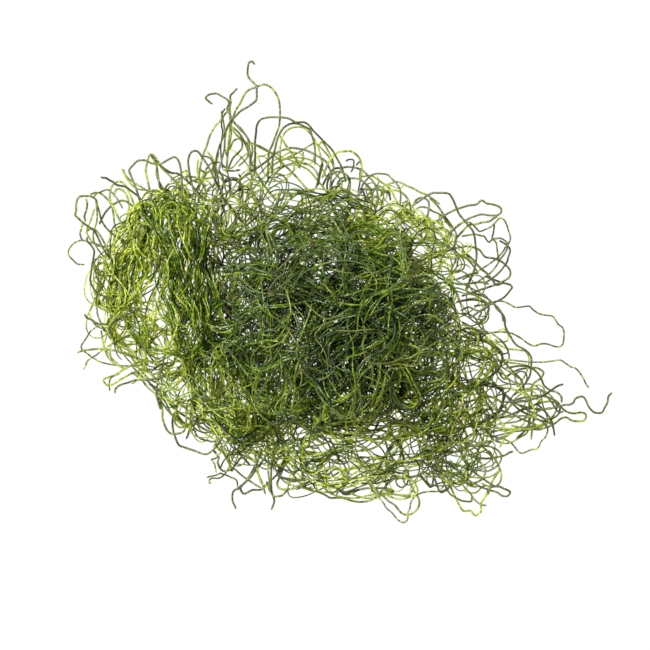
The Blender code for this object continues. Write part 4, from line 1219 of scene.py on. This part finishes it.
for name, (cushion, first, every) in TANGLE_PIECES.items():
    paths = tangle_paths[cushion][first::every]
    rng = np.random.default_rng((SEED, len(paths)))
    tones = rng.normal(CUSHIONS[cushion].tone, TONE_SPREAD, len(paths))
    tones -= (rng.random(len(paths)) < DARK_SHARE) * DARKER
    tones = np.minimum(tones, BRIGHTEST)
    # Each filament's bloom, which is pale bloom and painted sheen, varies at random.
    blooms_and_sheens = np.clip(rng.normal(CUSHIONS[cushion].bloom, BLOOM_AND_SHEEN_SPREAD, len(paths)), 0.0, MOST_BLOOM_AND_SHEEN)
    # Each tone gets the painted light and shade of its place.
    strands = [Strand(path, tone + painted_light_and_shade(path), CELL_CONTRAST, bloom)
               for path, tone, bloom in zip(paths, tones, blooms_and_sheens)]
    # The core gets the finish whose greyer bloom is painted shade and cool sheen.
    finish = SHADED_CORE_FILAMENT if cushion == "core" else WET_FILAMENT
    piece = finish_piece(name, strands, DEEP, "tangle_filaments", "tangle", finish=finish)
    print(name, triangles(piece), "triangles")

# %% [markdown]
# ## Filaments on top
# Some filaments lie on top of the middle and can be followed for a while. About half of them are
# pale, where the light from above catches them, and many of the others are near black. Their
# routes are given one by one, their heights follow the cushions under them, and their ends dive in.

# %% Routes of the filaments on top
ON_TOP = """
pale_grey 284,285 290,302 291,315 286,322
pale_grey 304,301 316,313 327,319 339,315 351,307
pale_grey 327,319 322,326 315,335 322,340
pale_grey 259,345 269,347 281,342 287,335 291,328
pale_grey 288,329 294,338 301,347 308,345
pale_grey 282,350 294,351 302,348
pale_grey 315,338 323,348 327,359 328,370
pale_grey 336,330 348,331 361,330 374,329
pale_grey 412,301 425,301 440,298
pale_grey 424,319 440,315 452,316
pale_grey 366,335 362,343 365,357 371,364 372,379 368,389
pale_grey 369,349 375,342 384,340
pale_grey 419,348 415,361 403,367 388,368
pale_grey 406,354 393,361 378,363 368,362
pale_grey 274,275 283,266 296,254 304,247 319,246
pale_grey 348,282 359,276 369,273 380,276
pale_grey 323,283 329,291 338,298
pale_grey 329,269 342,273 355,274
pale_grey 301,366 302,379 299,387
pale_grey 281,358 282,368 282,379
fresh_green 179,246 172,255 168,265 168,274
fresh_green 180,248 186,259 188,265 186,280
dark_green 235,345 232,353 225,363 216,372 204,379 201,385 204,394 211,399 220,398
fresh_green 204,410 218,409 234,406 240,406
fresh_green 220,410 243,408 250,413
near_black 266,300 271,288 279,278 290,272 300,276
near_black 262,276 270,272 278,276 281,285 276,292 268,290
near_black 274,268 284,272 288,281 284,290 275,294
near_black 250,302 262,296 276,290 288,282 302,270
near_black 237,244 240,258 244,272 242,288 236,302
near_black 228,250 236,262 238,278 233,294 235,310
near_black 246,246 258,250 270,246 282,252 292,262
near_black 250,266 258,256 268,258 276,250 288,246 302,250
near_black 306,258 318,252 332,250 344,254 356,250
near_black 312,244 324,248 334,258 346,262
near_black 218,392 230,398 242,396 252,402
near_black 206,396 216,404 228,406 238,412
near_black 376,414 388,418 398,412 410,418 422,416
near_black 382,428 392,420 404,424 414,432
"""
TOP_LIFT = 1.6 * MM
DIVE_DEPTH = 3.5 * MM
DIVE_LENGTH = 2.5 * MM


def top_path(route):
    """A path that lies on the cushions and dives in at both ends."""
    places = smooth_path([(*plan(pixel), 0) for pixel in route], SAMPLE)
    heights = np.max([roof(shape, places) for shape in SHAPES.values()], axis=0) + TOP_LIFT
    along = np.arange(len(places)) * SAMPLE
    nearer = np.minimum(along, along[-1] - along)
    places[:, 2] = heights - DIVE_DEPTH * (1 - np.clip(nearer / DIVE_LENGTH, 0, 1)) ** 2
    return places


strands = [Strand(top_path(route), *LOOKS[look]) for (look,), route in read_routes(ON_TOP)]
piece = finish_piece("filaments_on_top", strands, THIN, "stray_filaments")
print(piece.name, len(strands), "filaments,", triangles(piece), "triangles")

# %% [markdown]
# ## Floor, light and camera
# The clump lies on a white surface that glows, with soft light from all round and one lamp, so
# the thin edges shine and the thick middle stays dark. The camera looks straight down through a
# long lens from far away, so that high loops keep their place over low ones.

# %% Light the clump and look at it from above
FLOOR_SIZE = 6.0
FLOOR_DROP = 0.0002
FLOOR_GLOW = 3.8
SKY_LIGHT = 0.58
SEEN_WHITE = 1.02
LAMP_WATTS = 31.0
LAMP_SIZE = 0.16
LAMP_PLACE = (-0.35, 0.3, 0.7)
LENS_MM = 320.0
SENSOR_MM = 36.0
FRAME_PX = 650
VIEW_HEIGHT = 0.012


def light_strength(tree, strength):
    """A strength for the clump to be lit by, while the camera sees plain white."""
    seen = add_node(tree, "ShaderNodeLightPath").outputs["Is Camera Ray"]
    return add_node(tree, "ShaderNodeMapRange", Value=seen, To_Min=strength, To_Max=SEEN_WHITE).outputs[0]


def make_floor():
    """A plain white surface that glows softly."""
    mesh = bpy.data.meshes.new("floor")
    half = FLOOR_SIZE / 2
    corners = [(-half, -half, 0), (half, -half, 0), (half, half, 0), (-half, half, 0)]
    mesh.from_pydata(corners, [], [(0, 1, 2, 3)])
    floor = bpy.data.objects.new("floor", mesh)
    bpy.context.scene.collection.objects.link(floor)
    material = bpy.data.materials.new("white lit surface")
    material.use_nodes = True
    tree = material.node_tree
    tree.nodes.clear()
    glow = add_node(tree, "ShaderNodeEmission", Color=linear("#FFFFFF"),
                    Strength=light_strength(tree, FLOOR_GLOW))
    add_node(tree, "ShaderNodeOutputMaterial", Surface=glow.outputs[0])
    mesh.materials.append(material)
    floor.location.z = -FLOOR_DROP


def make_sky():
    """Soft even light from all round, seen as plain white."""
    world = bpy.data.worlds.new("soft white studio")
    world.use_nodes = True
    tree = world.node_tree
    tree.nodes.clear()
    sky = add_node(tree, "ShaderNodeBackground", Color=linear("#FFFFFF"),
                   Strength=light_strength(tree, SKY_LIGHT))
    add_node(tree, "ShaderNodeOutputWorld", Surface=sky.outputs[0])
    bpy.context.scene.world = world


def make_lamp():
    """A soft lamp over the upper left, which draws the glints along wet filaments."""
    light = bpy.data.lights.new("soft lamp", "AREA")
    light.energy = LAMP_WATTS
    light.size = LAMP_SIZE
    lamp = bpy.data.objects.new("soft lamp", light)
    bpy.context.scene.collection.objects.link(lamp)
    lamp.location = LAMP_PLACE
    lamp.rotation_euler = Vector(LAMP_PLACE).to_track_quat("Z", "Y").to_euler()


def make_camera():
    """Straight above the clump, framed as the photograph is."""
    lens = bpy.data.cameras.new("camera")
    lens.lens = LENS_MM
    lens.sensor_width = SENSOR_MM
    camera = bpy.data.objects.new("camera", lens)
    bpy.context.scene.collection.objects.link(camera)
    x, y = plan((FRAME_PX / 2, FRAME_PX / 2))
    distance = FRAME_PX * METRES_PER_PIXEL * LENS_MM / SENSOR_MM
    camera.location = (x, y, VIEW_HEIGHT + distance)
    bpy.context.scene.camera = camera
    return camera


make_floor()
make_sky()
make_lamp()
camera = make_camera()
bpy.context.scene.view_settings.view_transform = "Standard"
print("the camera is", round(camera.location.z, 3), "m above the surface")

# %% [markdown]
# ## Triangles
# The triangles of every piece are counted, in all and in the heaviest piece.

# %% Count the triangles
bpy.context.view_layer.update()
print("triangles in all:", sum(triangle_counts.values()))
print("and in the heaviest piece:", max(triangle_counts.values()))
